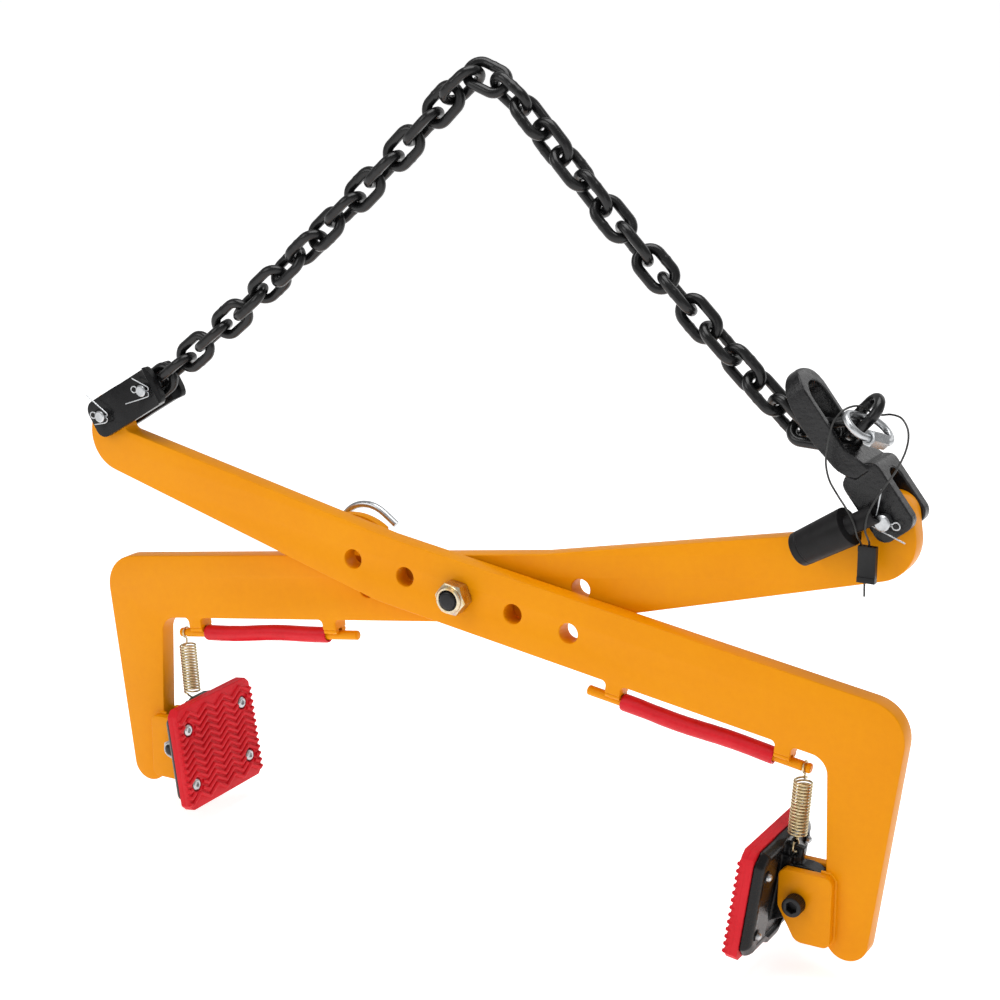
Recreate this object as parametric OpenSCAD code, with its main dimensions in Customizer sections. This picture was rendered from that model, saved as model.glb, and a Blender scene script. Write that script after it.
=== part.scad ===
// Concrete slab lifting clamp: two crossed bent arms on one pivot bolt,
// hung from a short link chain, gripping with two swivelling rubber pads.
// Units are millimetres, +Z is up and X runs from jaw to jaw.
// The origin is the middle of the lifting link at the top of the chain.

/* [Arms] */
// Thickness of each arm plate
arm_t = 16; // [12:1:20]
// Half the height of the straight part of the bar
bar_half = 28; // [24:1:34]
// Slope of the hole row below level, down towards the jaw
lean = 8.7; // [0:0.1:16]
// Pitch of the row of adjusting holes
hole_pitch = 50; // [40:1:60]
// Diameter of the adjusting holes
hole_d = 16.18; // [14.18:1:20.18]
// Width of the leg where it leaves the bar
leg_w = 53.8; // [48:0.2:62]
// Lean of the outer edge of the leg from square to the bar
outer_lean = 1.5; // [0:0.1:4]
// Distance from the pivot to the inner corner, along the bar
inner_u = 321.4; // [290:1:350]
// Lean of the inner edge of the leg from square to the bar
inner_lean = 10.64; // [4:0.1:14]
// Depth of the middle of the round foot below the bar's middle line
foot_v = 163; // [140:1:190]
// Radius of the outer corner
corner_r = 30; // [10:1:40]
// Radius of the inner corner
inner_r = 15; // [5:1:25]
// Bend of the lever's upper edge
lever_top = 3.5; // [0:0.1:6]
// Bend of the lever's lower edge
lever_bottom = 7.2; // [2:0.1:9]
// Distance from the pivot to the bend of the upper edge
bend_top_u = 70; // [40:1:110]
// Distance from the pivot to the bend of the lower edge
bend_bottom_u = 74; // [40:1:110]
// Distance along the bar from the pivot to the lever pin
eye_u = 358; // [320:1:380]
// Height of the lever pin above the bar's middle line
eye_v = 54; // [40:1:70]
// Radius of the lug round the lever pin
lug_r = 17.5; // [14:0.5:22]
// Radius of the lever's lower nose
nose_r = 35; // [20:1:45]

/* [Handles] */
// Diameter of the handle rod
rod_d = 8; // [6:1:12]
// Depth of the rod below the bar's middle line
rod_v = 43; // [38:1:50]
// Start of the rod along the bar
rod_u0 = 121; // [100:1:140]
// Gap from the outer end of the handle rod to the leg's inner corner
rod_gap = 12.4; // [10:0.2:20]
// Middle of the tab next to the pivot
tab_in_u = 144.3; // [135:0.1:160]
// Distance from the middle of the outer rod tab to the leg's inner corner
tab_gap = 34.9; // [30:0.1:50]
// Width of each tab
tab_w = 13; // [10:1:18]
// Outer diameter of the grip hose
grip_d = 13; // [11:0.5:18]

/* [Pads] */
// Width of the pad
pad_w = 105; // [80:1:140]
// Height of the pad
pad_h = 91; // [70:1:120]
// Cut on each corner of the pad
pad_cut = 9; // [4:1:14]
// Lean of the resting pad, top outwards
pad_tilt = 8; // [0:0.5:12]
// Distance from the swivel bolt to the crest of the tread
pad_reach = 38; // [34:1:46]
// Thickness of the rubber under the tread
rubber_t = 10; // [6:0.5:14]
// Height of the tread ribs
tread_h = 2; // [1:0.5:3]
// Pitch of the tread ribs
tread_pitch = 6.6; // [5:0.1:9]
// Distance from the leg's inner edge to the swivel bolt, along the bar
swivel_gap = 20.7; // [19.5:0.1:24]
// Depth of the swivel bolt below the bar's middle line
swivel_v = 144; // [130:1:155]
// Diameter of the swivel bolt
swivel_d = 10; // [8:2:12]
// Thickness of the cheek plates
cheek_t = 8; // [6:1:10]
// Pad screws in from the pad's side edges
screw_in_y = 13.5; // [11:0.5:20]
// Pad screws in from the pad's upper and lower edges
screw_in_z = 20.8; // [14:0.2:25]
// Diameter of the pad screws
screw_d = 6; // [5:1:8]

/* [Pivot] */
// Thickness of the washer between the arms
gap = 4; // [2:0.5:8]
// Diameter of the pivot bolt
bolt_d = 16; // [14:1:20]

/* [Chain] */
// Diameter of the chain wire
wire_d = 8; // [6:1:10]
// Inside length of a chain link
link_in = 25.6; // [18:0.1:30.5]
// Inside width of a chain link
link_gap = 11.5; // [8:0.1:14.5]
// Links in the left run, up to the one that hangs in the lifting link
left_links = 16; // [12:2:20]
// Links in the right run, from the second one down to the hook
right_links = 13; // [9:2:17]
// Height of the lifting link above the pivot
drop = 402.7; // [380:0.1:420]
// Distance of the lifting link to the right of the pivot
aside = 17.5; // [0:0.1:30]
// Droop of the left run, as the turn from end to end
left_sag = 7.3; // [1:0.1:12]
// Droop of the right run, as the turn from end to end
right_sag = 5.6; // [1:0.1:12]

/* [Connector] */
// Distance between the two connector pins
pin_gap = 51.4; // [45:0.2:60]
// Slope of the connector above level
link_slope = 31.3; // [20:0.1:45]
// Diameter of the connector pins
pin_d = 10; // [8:1:11]
// Thickness of the connector plates
strap_t = 6; // [4:1:8]

/* [Hook] */
// Slope of the hook from its pin up to its tip, from +X
hook_slope = 128.1; // [110:0.1:140]
// Distance from the hook's pin to its tip
hook_tip = 125; // [118:1:132]
// Width of the hook across its ears
hook_w = 38; // [34:1:44]
// Width of the hook's body across the window
body_w = 41; // [38:1:46]
// Width of the window that the chain passes through
window_w = 28.6; // [24:0.2:30]
// Diameter of the clevis pin
clevis_d = 12; // [10:1:14]

/* [Hidden] */

$fn = 72;

orange = [0.96, 0.60, 0.04];
black = [0.10, 0.10, 0.11];
red = [0.85, 0.06, 0.10];
silver = [0.78, 0.78, 0.80];
gold = [0.80, 0.70, 0.42];

front_y = -gap / 2 - arm_t;
mid_y = -gap / 2 - arm_t / 2;
leg_slope = 90 + outer_lean;
corner_u = inner_u + leg_w;
screw_y = pad_w - 2 * screw_in_y;
screw_z = pad_h - 2 * screw_in_z;
rod_u1 = inner_u - rod_gap;
tab_out_u = inner_u - tab_gap;
swivel_u = inner_u + (swivel_v - bar_half) * tan(inner_lean) - swivel_gap;
run_fit = 0.09;
easy_fit = 0.3;
crown_r = (link_gap + wire_d) / 2;
link_straight = link_in + wire_d - 2 * crown_r;
reach_out = link_in / 2 + wire_d / 2;

// Points on the pose plane, measured from the pivot, +X right and +Z up
function turn(p, a) = [p[0] * cos(a) - p[1] * sin(a), p[0] * sin(a) + p[1] * cos(a)];
function step(p, a, d) = [p[0] + d * cos(a), p[1] + d * sin(a)];
eye_left = turn([-eye_u, eye_v], -lean);
eye_right = [-eye_left[0], eye_left[1]];
strap_end = step(eye_left, link_slope, pin_gap);

// The lifting link, and the link that hangs in each of its crowns: place, depth, slope and twist
lift_slope = -21.1;
lift_twist = -33.3;
lift = [aside, drop];
high_left = lift + [-19.9, -6.3];
high_left_y = -3.2;
high_left_slope = 41.9;
high_left_twist = 69;
high_right = lift + [20.6, -11.4];
high_right_y = -0.9;
high_right_slope = -37.1;
high_right_twist = 34.7;

// The left run follows a shallow arc from the upper strap pin to its highest link
left_a = step(strap_end, 37.6, link_in / 2 - pin_d / 2 - 0.6);
left_b = lift + [-36.6, -21.4];
left_y = -2.8;
left_len = norm(left_b - left_a);
left_dir = atan2(left_b[1] - left_a[1], left_b[0] - left_a[0]);
left_rad = left_len / (2 * sin(left_sag / 2));

// The hook's axis runs from its pin to its tip, and the chain crosses it
slot_p = 69.8;
slot_n = 0.4;
slot_slope = 12.6;
slot_twist = 32.4;
slot_mid = step(step(eye_right, hook_slope, slot_p), hook_slope - 90, slot_n);
bend_slope = -1.8;
bend_twist = -43.6;
bend_mid = slot_mid + [-20.3, -1.8];
tail_slope = 48.7;
tail_twist = -56.9;
tail_y = 7.7;
tail_mid = step(step(slot_mid, slot_slope, 6.8), tail_slope, reach_out);

// The right run follows a shallow arc down to the last link before the hook
right_a = lift + [38, -27.6];
right_y = -0.2;
right_b = bend_mid + [-20.8, 7.8];
right_end_y = 12.4;
right_len = norm(right_b - right_a);
right_dir = atan2(right_b[1] - right_a[1], right_b[0] - right_a[0]);
right_rad = right_len / (2 * sin(right_sag / 2));

function arc_dir(dir, sag, t) = dir + sag * (t - 0.5);
function arc_pt(a, dir, sag, rad, t) = [
    a[0] + rad * (sin(arc_dir(dir, sag, t)) - sin(arc_dir(dir, sag, 0))),
    a[1] - rad * (cos(arc_dir(dir, sag, t)) - cos(arc_dir(dir, sag, 0)))];

// Twist of each link about the run: face-on is 0 and edge-on is 90
function ramp(i, a, b) = min(1, max(0, (i - a) / (b - a)));
function left_twist(i) = 90 * (i - 1) + 90 * ramp(i, 3, 12);
function right_twist(i) = 111 + 90 * (i - 1) - 6.6 * ramp(i, 1, 2) + 10.2 * max(0, i - 2.2);

module hang() {
    translate([-aside, 0, -drop]) children();
}

// Flat profile in the pose plane, pushed back from y0 by t
module plate(y0, t) {
    translate([0, y0 + t, 0]) rotate([90, 0, 0]) linear_extrude(height = t) children();
}

// Flat profile across the jaw, pushed to the right from x0 by t
module slab(x0, t) {
    translate([x0, 0, 0]) rotate([90, 0, 90]) linear_extrude(height = t) children();
}

// Cylinder along Y between two depths
module pin(y0, y1, d) {
    translate([0, y1, 0]) rotate([90, 0, 0]) cylinder(d = d, h = y1 - y0);
}

// Cylinder along X
module bar(x0, x1, d) {
    translate([x0, 0, 0]) rotate([0, 90, 0]) cylinder(d = d, h = x1 - x0);
}

// Corner region left over by an arc that touches both edges of a corner, reaching a little past it
module nook(c, a1, a2, r) {
    h = abs(a1 - a2) > 180 ? (360 - abs(a1 - a2)) / 2 : abs(a1 - a2) / 2;
    m = abs(a1 - a2) > 180 ? (a1 + a2) / 2 + 180 : (a1 + a2) / 2;
    k = step(c, m, r / sin(h));
    difference() {
        polygon([step(c, m + 180, 0.5), step(c, a1, r / tan(h)), k, step(c, a2, r / tan(h))]);
        translate(k) circle(r = r);
    }
}

// Box with every corner of its outline rounded
module round_box(x0, x1, y0, y1, r) {
    difference() {
        translate([x0, y0]) square([x1 - x0, y1 - y0]);
        nook([x0, y0], 0, 90, r);
        nook([x1, y0], 90, 180, r);
        nook([x1, y1], 180, 270, r);
        nook([x0, y1], 270, 360, r);
    }
}

// Round wire swept through points, for springs, cotters and the seal
module tube(pts, d, sides) {
    n = len(pts);
    function unit(v) = v / norm(v);
    function way(i) = unit(pts[min(n - 1, i + 1)] - pts[max(0, i - 1)]);
    function ref(t) = abs(t[1]) < 0.9 ? [0, 1, 0] : [1, 0, 0];
    function side(i) = unit(cross(way(i), ref(way(i))));
    ring = [for (i = [0:n - 1]) for (k = [0:sides - 1])
        let (s = side(i), w = cross(way(i), s), a = 360 * k / sides)
        pts[i] + d / 2 * (cos(a) * s + sin(a) * w)];
    walls = [for (i = [0:n - 2]) for (k = [0:sides - 1])
        let (j = (k + 1) % sides)
        each [[i * sides + k, (i + 1) * sides + k, (i + 1) * sides + j],
            [i * sides + k, (i + 1) * sides + j, i * sides + j]]];
    first = [[for (k = [0:sides - 1]) k]];
    last = [[for (k = [sides - 1:-1:0]) (n - 1) * sides + k]];
    polyhedron(points = ring, faces = concat(first, last, walls), convexity = 8);
}

// One chain link, long along X and wide along Z
module link() {
    half = link_straight / 2;
    for (s = [-1, 1]) {
        translate([-half, 0, s * crown_r]) bar(0, link_straight, wire_d);
        translate([s * half, 0, 0]) rotate([90, 0, 0]) rotate([0, 0, s > 0 ? -90 : 90])
            rotate_extrude(angle = 180) translate([crown_r, 0]) circle(d = wire_d);
    }
}

module put_link(p, y, slope, twist) {
    translate([p[0], y, p[1]]) rotate([0, -slope, 0]) rotate([twist, 0, 0]) link();
}

module lifting_link() {
    color(black) hang() put_link(lift, 0, lift_slope, lift_twist);
}

module left_chain() {
    color(black) hang() {
        for (i = [1:left_links]) {
            t = (i - 1) / (left_links - 1);
            put_link(arc_pt(left_a, left_dir, left_sag, left_rad, t), mid_y * (1 - t) + left_y * t,
                arc_dir(left_dir, left_sag, t), left_twist(i));
        }
        put_link(high_left, high_left_y, high_left_slope, high_left_twist);
    }
}

module right_chain() {
    color(black) hang() {
        put_link(high_right, high_right_y, high_right_slope, high_right_twist);
        for (i = [1:right_links]) {
            t = (i - 1) / (right_links - 1);
            put_link(arc_pt(right_a, right_dir, right_sag, right_rad, t), right_y * (1 - t) + right_end_y * t,
                arc_dir(right_dir, right_sag, t), right_twist(i));
        }
    }
}

module bend_link() {
    color(black) hang() put_link(bend_mid, -mid_y, bend_slope, bend_twist);
}

module slot_link() {
    color(black) hang() put_link(slot_mid, -mid_y, slot_slope, slot_twist);
}

module tail_link() {
    color(black) hang() put_link(tail_mid, tail_y, tail_slope, tail_twist);
}

// Oval screw-gate ring round one side of the tail link, which stops the chain running back
ring_d = 5.5;
ring_long = 50;
ring_wide = 28;
ring_tilt = 30;
ring_along = 1;
ring_r = (ring_wide - ring_d) / 2;
ring_half = ring_long / 2 - ring_wide / 2;
ring_hold = (wire_d + ring_d) / 2 + 0.3;

// The ring's frame: X along its long sides and Y across them, with one long side inside the tail link
module at_ring() {
    translate([tail_mid[0], tail_y, tail_mid[1]]) rotate([0, -tail_slope, 0]) rotate([tail_twist, 0, 0])
        translate([ring_along, 0, -crown_r]) rotate([ring_tilt, 0, 0]) translate([0, 0, ring_hold - ring_r])
            rotate([90, 0, 90]) children();
}

module stop_ring() {
    color(silver) hang() at_ring() {
        for (s = [-1, 1]) translate([s * ring_half, 0, 0]) rotate([0, 0, s > 0 ? -90 : 90])
            rotate_extrude(angle = 180) translate([ring_r, 0]) circle(d = ring_d);
        translate([0, -ring_r, 0]) bar(-ring_half, ring_half, ring_d);
        translate([0, ring_r, 0]) bar(-ring_half, ring_half, ring_d);
    }
}

module stop_ring_sleeve() {
    color(silver) hang() at_ring() translate([0, -ring_r, 0]) rotate([0, 90, 0]) difference() {
        translate([0, 0, -8.5]) cylinder(d = 12.4, h = 17, $fn = 6);
        translate([0, 0, -9.5]) cylinder(d = ring_d + 0.1, h = 19);
    }
}

// One flame-cut arm plate, in its own frame with the hole row along X
module arm_plate() {
    top_in = [-bend_top_u, bar_half];
    low_in = [-bend_bottom_u, -bar_half];
    nose_u = -eye_u - lug_r + nose_r;
    nose_v = -bar_half + (-bend_bottom_u - nose_u) * tan(lever_bottom) + nose_r / cos(lever_bottom);
    nose = [nose_u, nose_v];
    touch = step(nose, 270 - lever_bottom, nose_r);
    lug_side = -eye_u + lug_r;
    lug_foot = bar_half + (-bend_top_u - lug_side) * tan(lever_top);
    corner = [corner_u, bar_half];
    inner = [inner_u, -bar_half];
    foot_out = [corner_u + (foot_v + bar_half) * tan(outer_lean), -foot_v];
    foot_in = [inner_u + (foot_v - bar_half) * tan(inner_lean), -foot_v];
    foot_r = (foot_out[0] - foot_in[0]) / 2;
    difference() {
        union() {
            cut_out() polygon([top_in, corner, foot_out, foot_in, inner, low_in]);
            cut_out() polygon([top_in + [3, 0], low_in + [3, 0], low_in, touch, nose, [-eye_u - lug_r, nose_v],
                [-eye_u - lug_r, eye_v], [lug_side, eye_v], [lug_side, lug_foot], top_in]);
            cut_out() intersection() {
                translate(nose) circle(r = nose_r);
                polygon([nose + [3, 3], nose + [-60, 3], nose + [-60, -60],
                    step(nose + [3, 0], 270 - lever_bottom, 80)]);
            }
            cut_out() translate([-eye_u, eye_v]) circle(r = lug_r);
            cut_out() translate([(foot_in[0] + foot_out[0]) / 2, -foot_v]) circle(r = foot_r);
            cut_out() nook([lug_side, lug_foot], 90, -lever_top, 7);
            cut_out() nook(inner, 180, -90 + inner_lean, inner_r);
            for (u = [tab_in_u, tab_out_u]) {
                cut_out() round_tab(u);
                cut_out() nook([u - tab_w / 2, -bar_half], 180, 270, 4);
                cut_out() nook([u + tab_w / 2, -bar_half], 270, 360, 4);
            }
        }
        plate(front_y - 1, arm_t + 2) nook(corner, 180, 270 + outer_lean, corner_r);
        for (k = [-2:2]) translate([k * hole_pitch, 0, 0]) pin(front_y - 1, front_y + arm_t + 1, hole_d);
    }
}

module cut_out() {
    plate(front_y, arm_t) children();
}

module round_tab(u) {
    difference() {
        translate([u - tab_w / 2, -rod_v - 6]) square([tab_w, rod_v + 6 - bar_half + 1]);
        nook([u - tab_w / 2, -rod_v - 6], 0, 90, 3);
        nook([u + tab_w / 2, -rod_v - 6], 90, 180, 3);
    }
}

// Everything on an arm is drawn for the front arm; the rear arm is the same turned half round
module arm_pose(rear) {
    hang() rotate([0, 0, rear ? 180 : 0]) rotate([0, lean, 0]) children();
}

module arm(rear) {
    eye_hole = (rear ? clevis_d : pin_d) + 2 * run_fit;
    color(orange) arm_pose(rear) difference() {
        arm_plate();
        translate([-eye_u, 0, eye_v]) pin(front_y - 1, 0, eye_hole);
        translate([0, mid_y, -rod_v]) bar(rod_u0 - 2, rod_u1 + 2, rod_d + 0.1);
    }
}

// Cheek plate, measured from its swivel bolt: the far side laps over the leg
cheek_in = 15;
cheek_out = swivel_gap + 6.8;
cheek_top = 25;
cheek_low = 32;
cheek_chin = 5;
cheek_r = 6;

module at_swivel() {
    translate([swivel_u, mid_y, -swivel_v]) rotate([0, -lean, 0]) children();
}

module cheek_outline() {
    chin_dir = atan2(cheek_low - cheek_chin, -cheek_in);
    difference() {
        polygon([[-cheek_in, cheek_top], [cheek_out, cheek_top], [cheek_out, -cheek_low], [0, -cheek_low],
            [-cheek_in, -cheek_chin]]);
        nook([-cheek_in, cheek_top], 0, 270, cheek_r);
        nook([cheek_out, cheek_top], 180, 270, cheek_r);
        nook([cheek_out, -cheek_low], 90, 180, cheek_r);
        nook([0, -cheek_low], 0, chin_dir, cheek_r * 1.5);
        nook([-cheek_in, -cheek_chin], 90, 180 + chin_dir, cheek_r * 1.3);
        circle(d = swivel_d + 0.1);
    }
}

module cheeks(rear) {
    color(orange) arm_pose(rear) at_swivel() {
        plate(-arm_t / 2 - cheek_t, cheek_t) cheek_outline();
        plate(arm_t / 2, cheek_t) cheek_outline();
    }
}

module handle_rod(rear) {
    color(orange) arm_pose(rear) translate([0, mid_y, -rod_v]) {
        bar(rod_u0 + 1, rod_u1 - 7, rod_d);
        bar(rod_u1 - 7, rod_u1 - 3.5, rod_d - 1.6);
        bar(rod_u1 - 3.5, rod_u1 - 1, rod_d);
        translate([rod_u0, 0, 0]) rotate([0, 90, 0]) cylinder(d1 = rod_d - 2, d2 = rod_d, h = 1);
        translate([rod_u1 - 1, 0, 0]) rotate([0, 90, 0]) cylinder(d1 = rod_d, d2 = rod_d - 2, h = 1);
    }
}

module grip(rear) {
    color(red) arm_pose(rear) translate([0, mid_y, -rod_v]) difference() {
        bar(tab_in_u + tab_w / 2 + 0.6, tab_out_u - tab_w / 2 - 0.6, grip_d);
        bar(tab_in_u, tab_out_u, rod_d + 0.4);
    }
}

// The pad hangs on the swivel bolt with its face towards the pivot
module pad_pose(rear) {
    arm_pose(rear) at_swivel() rotate([0, pad_tilt, 0]) children();
}

back_x = -pad_reach + tread_h + rubber_t;
hub_w = arm_t - 2 * easy_fit;
hub_r = swivel_gap * cos(inner_lean) - 1.85;
heel_r = 26.5;
heel_x = swivel_gap - 5.7;
foot_z = 30;

module pad_shape(w, h, c) {
    polygon([[-w / 2 + c, -h / 2], [w / 2 - c, -h / 2], [w / 2, -h / 2 + c], [w / 2, h / 2 - c],
        [w / 2 - c, h / 2], [-w / 2 + c, h / 2], [-w / 2, h / 2 - c], [-w / 2, -h / 2 + c]]);
}

module screw_spots() {
    for (a = [-1, 1]) for (b = [-1, 1]) translate([a * screw_y / 2, b * screw_z / 2]) children();
}

module pad_casting(rear) {
    panel_t = 5;
    rim_t = 8;
    rim_w = 5;
    color(black) pad_pose(rear) difference() {
        union() {
            slab(back_x, panel_t) pad_shape(pad_w - 2, pad_h - 2, pad_cut);
            slab(back_x, rim_t) difference() {
                pad_shape(pad_w - 2, pad_h - 2, pad_cut);
                pad_shape(pad_w - 2 - 2 * rim_w, pad_h - 2 - 2 * rim_w, pad_cut - 2);
            }
            for (s = [-1, 1]) slab(back_x, rim_t - 1)
                translate([s * screw_y / 3 - 2, -pad_h / 2 + 3]) square([4, pad_h - 6]);
            plate(-hub_w / 2, hub_w) {
                circle(r = hub_r);
                intersection() {
                    circle(r = heel_r);
                    translate([back_x + 3, -2]) square([heel_x - back_x - 3, 40]);
                }
                polygon([[back_x + 1, foot_z], [-12, foot_z], [-12, -12], [-6, 1 - hub_r],
                    [back_x + 1, -foot_z]]);
            }
            translate([back_x + 1, -3.5, 22]) cube([-5.5 - back_x - 1, 7, 16]);
        }
        pin(-hub_w, hub_w, swivel_d + 2 * run_fit);
        translate([-12.9, 0, 32.5]) pin(-6, 6, 5);
        slab(back_x - 1, rim_t + 2) screw_spots() circle(d = screw_d + 0.4);
    }
}

// Zigzag ribs across the pad
module zigzag() {
    cols = 8;
    cell = (pad_w - 6) / cols;
    rib = 3.2;
    rise = 3.6;
    rows = floor((pad_h - 6) / tread_pitch);
    top = [for (k = [0:cols]) [(k - cols / 2) * cell, (k % 2 == 0 ? -rise : rise) + rib / 2]];
    low = [for (k = [cols:-1:0]) [(k - cols / 2) * cell, (k % 2 == 0 ? -rise : rise) - rib / 2]];
    for (j = [0:rows - 1]) translate([0, (j - (rows - 1) / 2) * tread_pitch]) polygon(concat(top, low));
}

module pad_rubber(rear) {
    color(red) pad_pose(rear) difference() {
        union() {
            slab(back_x - rubber_t, rubber_t) pad_shape(pad_w, pad_h, pad_cut);
            slab(-pad_reach, tread_h + 0.5) intersection() {
                zigzag();
                pad_shape(pad_w - 1, pad_h - 1, pad_cut);
            }
        }
        slab(-pad_reach - 1, 6) screw_spots() circle(d = 12.5);
        slab(-pad_reach - 1, pad_reach) screw_spots() circle(d = screw_d + 0.4);
    }
}

module each_screw() {
    for (a = [-1, 1]) for (b = [-1, 1]) translate([0, a * screw_y / 2, b * screw_z / 2]) children();
}

module pad_screws(rear) {
    seat = -pad_reach + 5;
    color(silver) pad_pose(rear) each_screw() difference() {
        union() {
            bar(seat - 2.6, seat, 10);
            translate([seat - 3.6, 0, 0]) rotate([0, 90, 0]) cylinder(d1 = 7, d2 = 10, h = 1);
            bar(seat, back_x + 5 + 7, screw_d);
        }
        for (r = [0, 90]) rotate([r, 0, 0]) translate([seat - 4, -2.6, -0.6]) cube([2, 5.2, 1.2]);
    }
}

module pad_nuts(rear) {
    color(silver) pad_pose(rear) each_screw() difference() {
        translate([back_x + 5, 0, 0]) rotate([0, 90, 0]) cylinder(d = 11.5, h = 5, $fn = 6);
        bar(back_x, back_x + 12, screw_d + 0.1);
    }
}

module swivel_bolt(rear) {
    half = arm_t / 2 + cheek_t;
    color(black) arm_pose(rear) at_swivel() difference() {
        union() {
            pin(-half, half + 11.5, swivel_d);
            pin(-half - 9, -half, 16);
            translate([0, -half - 10, 0]) rotate([-90, 0, 0]) cylinder(d1 = 14, d2 = 16, h = 1);
        }
        translate([0, -half - 11, 0]) rotate([-90, 30, 0]) cylinder(d = 9.24, h = 6.5, $fn = 6);
    }
}

module swivel_nut(rear) {
    half = arm_t / 2 + cheek_t;
    color(silver) arm_pose(rear) at_swivel() difference() {
        union() {
            translate([0, half, 0]) rotate([-90, 0, 0]) cylinder(d = 18.5, h = 8, $fn = 6);
            pin(half + 8, half + 10, 14.5);
        }
        pin(half - 1, half + 12, swivel_d + 0.1);
    }
}

// Extension spring from the rod's end down to the pad's lug
spring_d = 12.4;
spring_wire = 1.7;
spring_turns = 17;

module spring(rear) {
    up = turn([rod_u1 - 5.2, -rod_v], -lean);
    hub = turn([swivel_u, -swivel_v], -lean);
    low = hub + turn([-12.9, 32.5], -pad_tilt);
    reach = up[1] - low[1];
    coil_top = up[1] - rod_d / 2 - 7;
    coil_low = low[1] + 14;
    per = 8;
    total = spring_turns * per;
    lean_x = (low[0] - up[0]) / reach;
    function mid_x(z) = up[0] + (up[1] - z) * lean_x;
    coil = [for (i = [0:total]) let (a = 360 * i / per + 90, z = coil_top - (coil_top - coil_low) * i / total)
        [mid_x(z) + spring_d / 2 * cos(a), spring_d / 2 * sin(a), z]];
    hook_r = rod_d / 2 + 0.4;
    upper = [for (a = [250:-30:-80]) [up[0] + 0.2, hook_r * cos(a), up[1] + hook_r * sin(a)]];
    rise = [[up[0], 0, up[1] - hook_r - 1.6], [mid_x(coil_top), 1.5, coil_top + 1.6],
        [mid_x(coil_top), 4.5, coil_top + 0.4]];
    loop_r = 5.2;
    down = [[mid_x(coil_low), 5.6, coil_low - 1.4]];
    lower = [for (a = [70:-25:-230]) [low[0], loop_r * cos(a), low[1] + loop_r - 0.9 + loop_r * sin(a)]];
    color(gold) hang() rotate([0, 0, rear ? 180 : 0]) translate([0, mid_y, 0])
        tube(concat(upper, rise, coil, down, lower), spring_wire, 6);
}

module pivot_bolt() {
    color(black) hang() {
        pin(front_y - 17, -front_y, bolt_d);
        pin(-front_y + 9, -front_y + 10, 22);
        translate([0, -front_y, 0]) rotate([-90, 0, 0]) cylinder(d = 27.7, h = 9, $fn = 6);
    }
}

module pivot_nut() {
    color(gold) hang() difference() {
        union() {
            translate([0, front_y, 0]) rotate([90, 30, 0]) cylinder(d = 27.7, h = 13, $fn = 6);
            pin(front_y - 16, front_y - 12, 22);
        }
        pin(front_y - 18, front_y + 1, bolt_d + 0.1);
    }
}

module pivot_washer() {
    color(silver) hang() difference() {
        pin(-gap / 2, gap / 2, 36);
        pin(-gap, gap, bolt_d + 0.4);
    }
}

// Two strap plates join the lever's eye to the chain
strap_in = arm_t / 2 + 0.5;
strap_set = 2;
strap_flare = 5.9;
strap_heel = 15;
strap_nose = 26.1;
strap_low = 17;
strap_high = 16;

module at_strap() {
    translate([eye_left[0], mid_y, eye_left[1]]) rotate([0, -link_slope, 0]) children();
}

module strap(side) {
    a = strap_in;
    b = strap_in + strap_t;
    color(black) hang() at_strap() scale([1, side, 1]) difference() {
        intersection() {
            linear_extrude(height = 60, center = true)
                polygon([[-strap_heel - 5, a], [20, a], [30, a - strap_set], [pin_gap + 8.6, a - strap_set],
                    [pin_gap + 17.9, a + strap_flare], [90, a + strap_flare],
                    [90, b + strap_flare], [pin_gap + 15.7, b + strap_flare], [pin_gap + 6.4, b - strap_set],
                    [30, b - strap_set], [20, b], [-strap_heel - 5, b]]);
            plate(-30, 60) round_box(-strap_heel, pin_gap + strap_nose, -strap_low, strap_high, 9);
        }
        pin(-30, 30, pin_d + 2 * run_fit);
        translate([pin_gap, 0, 0]) pin(-30, 30, pin_d + 2 * run_fit);
    }
}

// Headed pin with a cross hole for its cotter
module headed_pin(d, y0, y1, turned, head) {
    difference() {
        union() {
            pin(y0 + 1, y1, d);
            translate([0, y0, 0]) rotate([-90, 0, 0]) cylinder(d1 = d - 2, d2 = d, h = 1);
            pin(y1, y1 + 4, head);
        }
        translate([0, y0 + 3.6, 0]) rotate([0, turned, 0]) bar(-d, d, 3.4);
    }
}

module strap_pin(upper) {
    out = strap_in + strap_t - (upper ? strap_set : 0);
    head = pin_d + (upper ? 2.6 : 6);
    color(silver) hang() at_strap() translate([upper ? pin_gap : 0, 0, 0])
        headed_pin(pin_d, -out - 7, out, 31, head);
}

// Split cotter: an eye, a shank through the cross hole and two legs bent apart
module cotter(d) {
    r = d / 2;
    eye = [for (a = [20:40:340]) [-r - 3.9 - 2.6 * cos(a), 0, 2.6 * sin(a)]];
    upper_leg = [[r - 9, -1, 13.5], [r - 0.6, -0.9, 6.2], [r + 1.9, -0.6, 3], [r + 1.6, -0.3, 1.4]];
    lower_leg = [[r + 1.6, -0.3, -1.4], [r + 1.9, -0.6, -2.6], [r - 1.4, -0.9, -5.6], [r - 9, -1, -8.6]];
    color(silver) tube(concat(upper_leg, [[r + 0.2, 0, 0.75], [-r - 1, 0, 0.75]], eye,
        [[-r - 1, 0, -0.75], [r + 0.2, 0, -0.75]], lower_leg), 1.4, 8);
}

module strap_cotters() {
    hang() at_strap() {
        translate([0, -strap_in - strap_t - 7 + 3.6, 0]) rotate([0, 31, 0]) cotter(pin_d);
        translate([pin_gap, -strap_in - strap_t + strap_set - 7 + 3.6, 0]) rotate([0, 31, 0]) cotter(pin_d);
    }
}

// The hook's own frame: X runs from its pin to its tip and Z across its back
module at_hook() {
    translate([eye_right[0], -mid_y, eye_right[1]]) rotate([0, -hook_slope, 0]) children();
}

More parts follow.
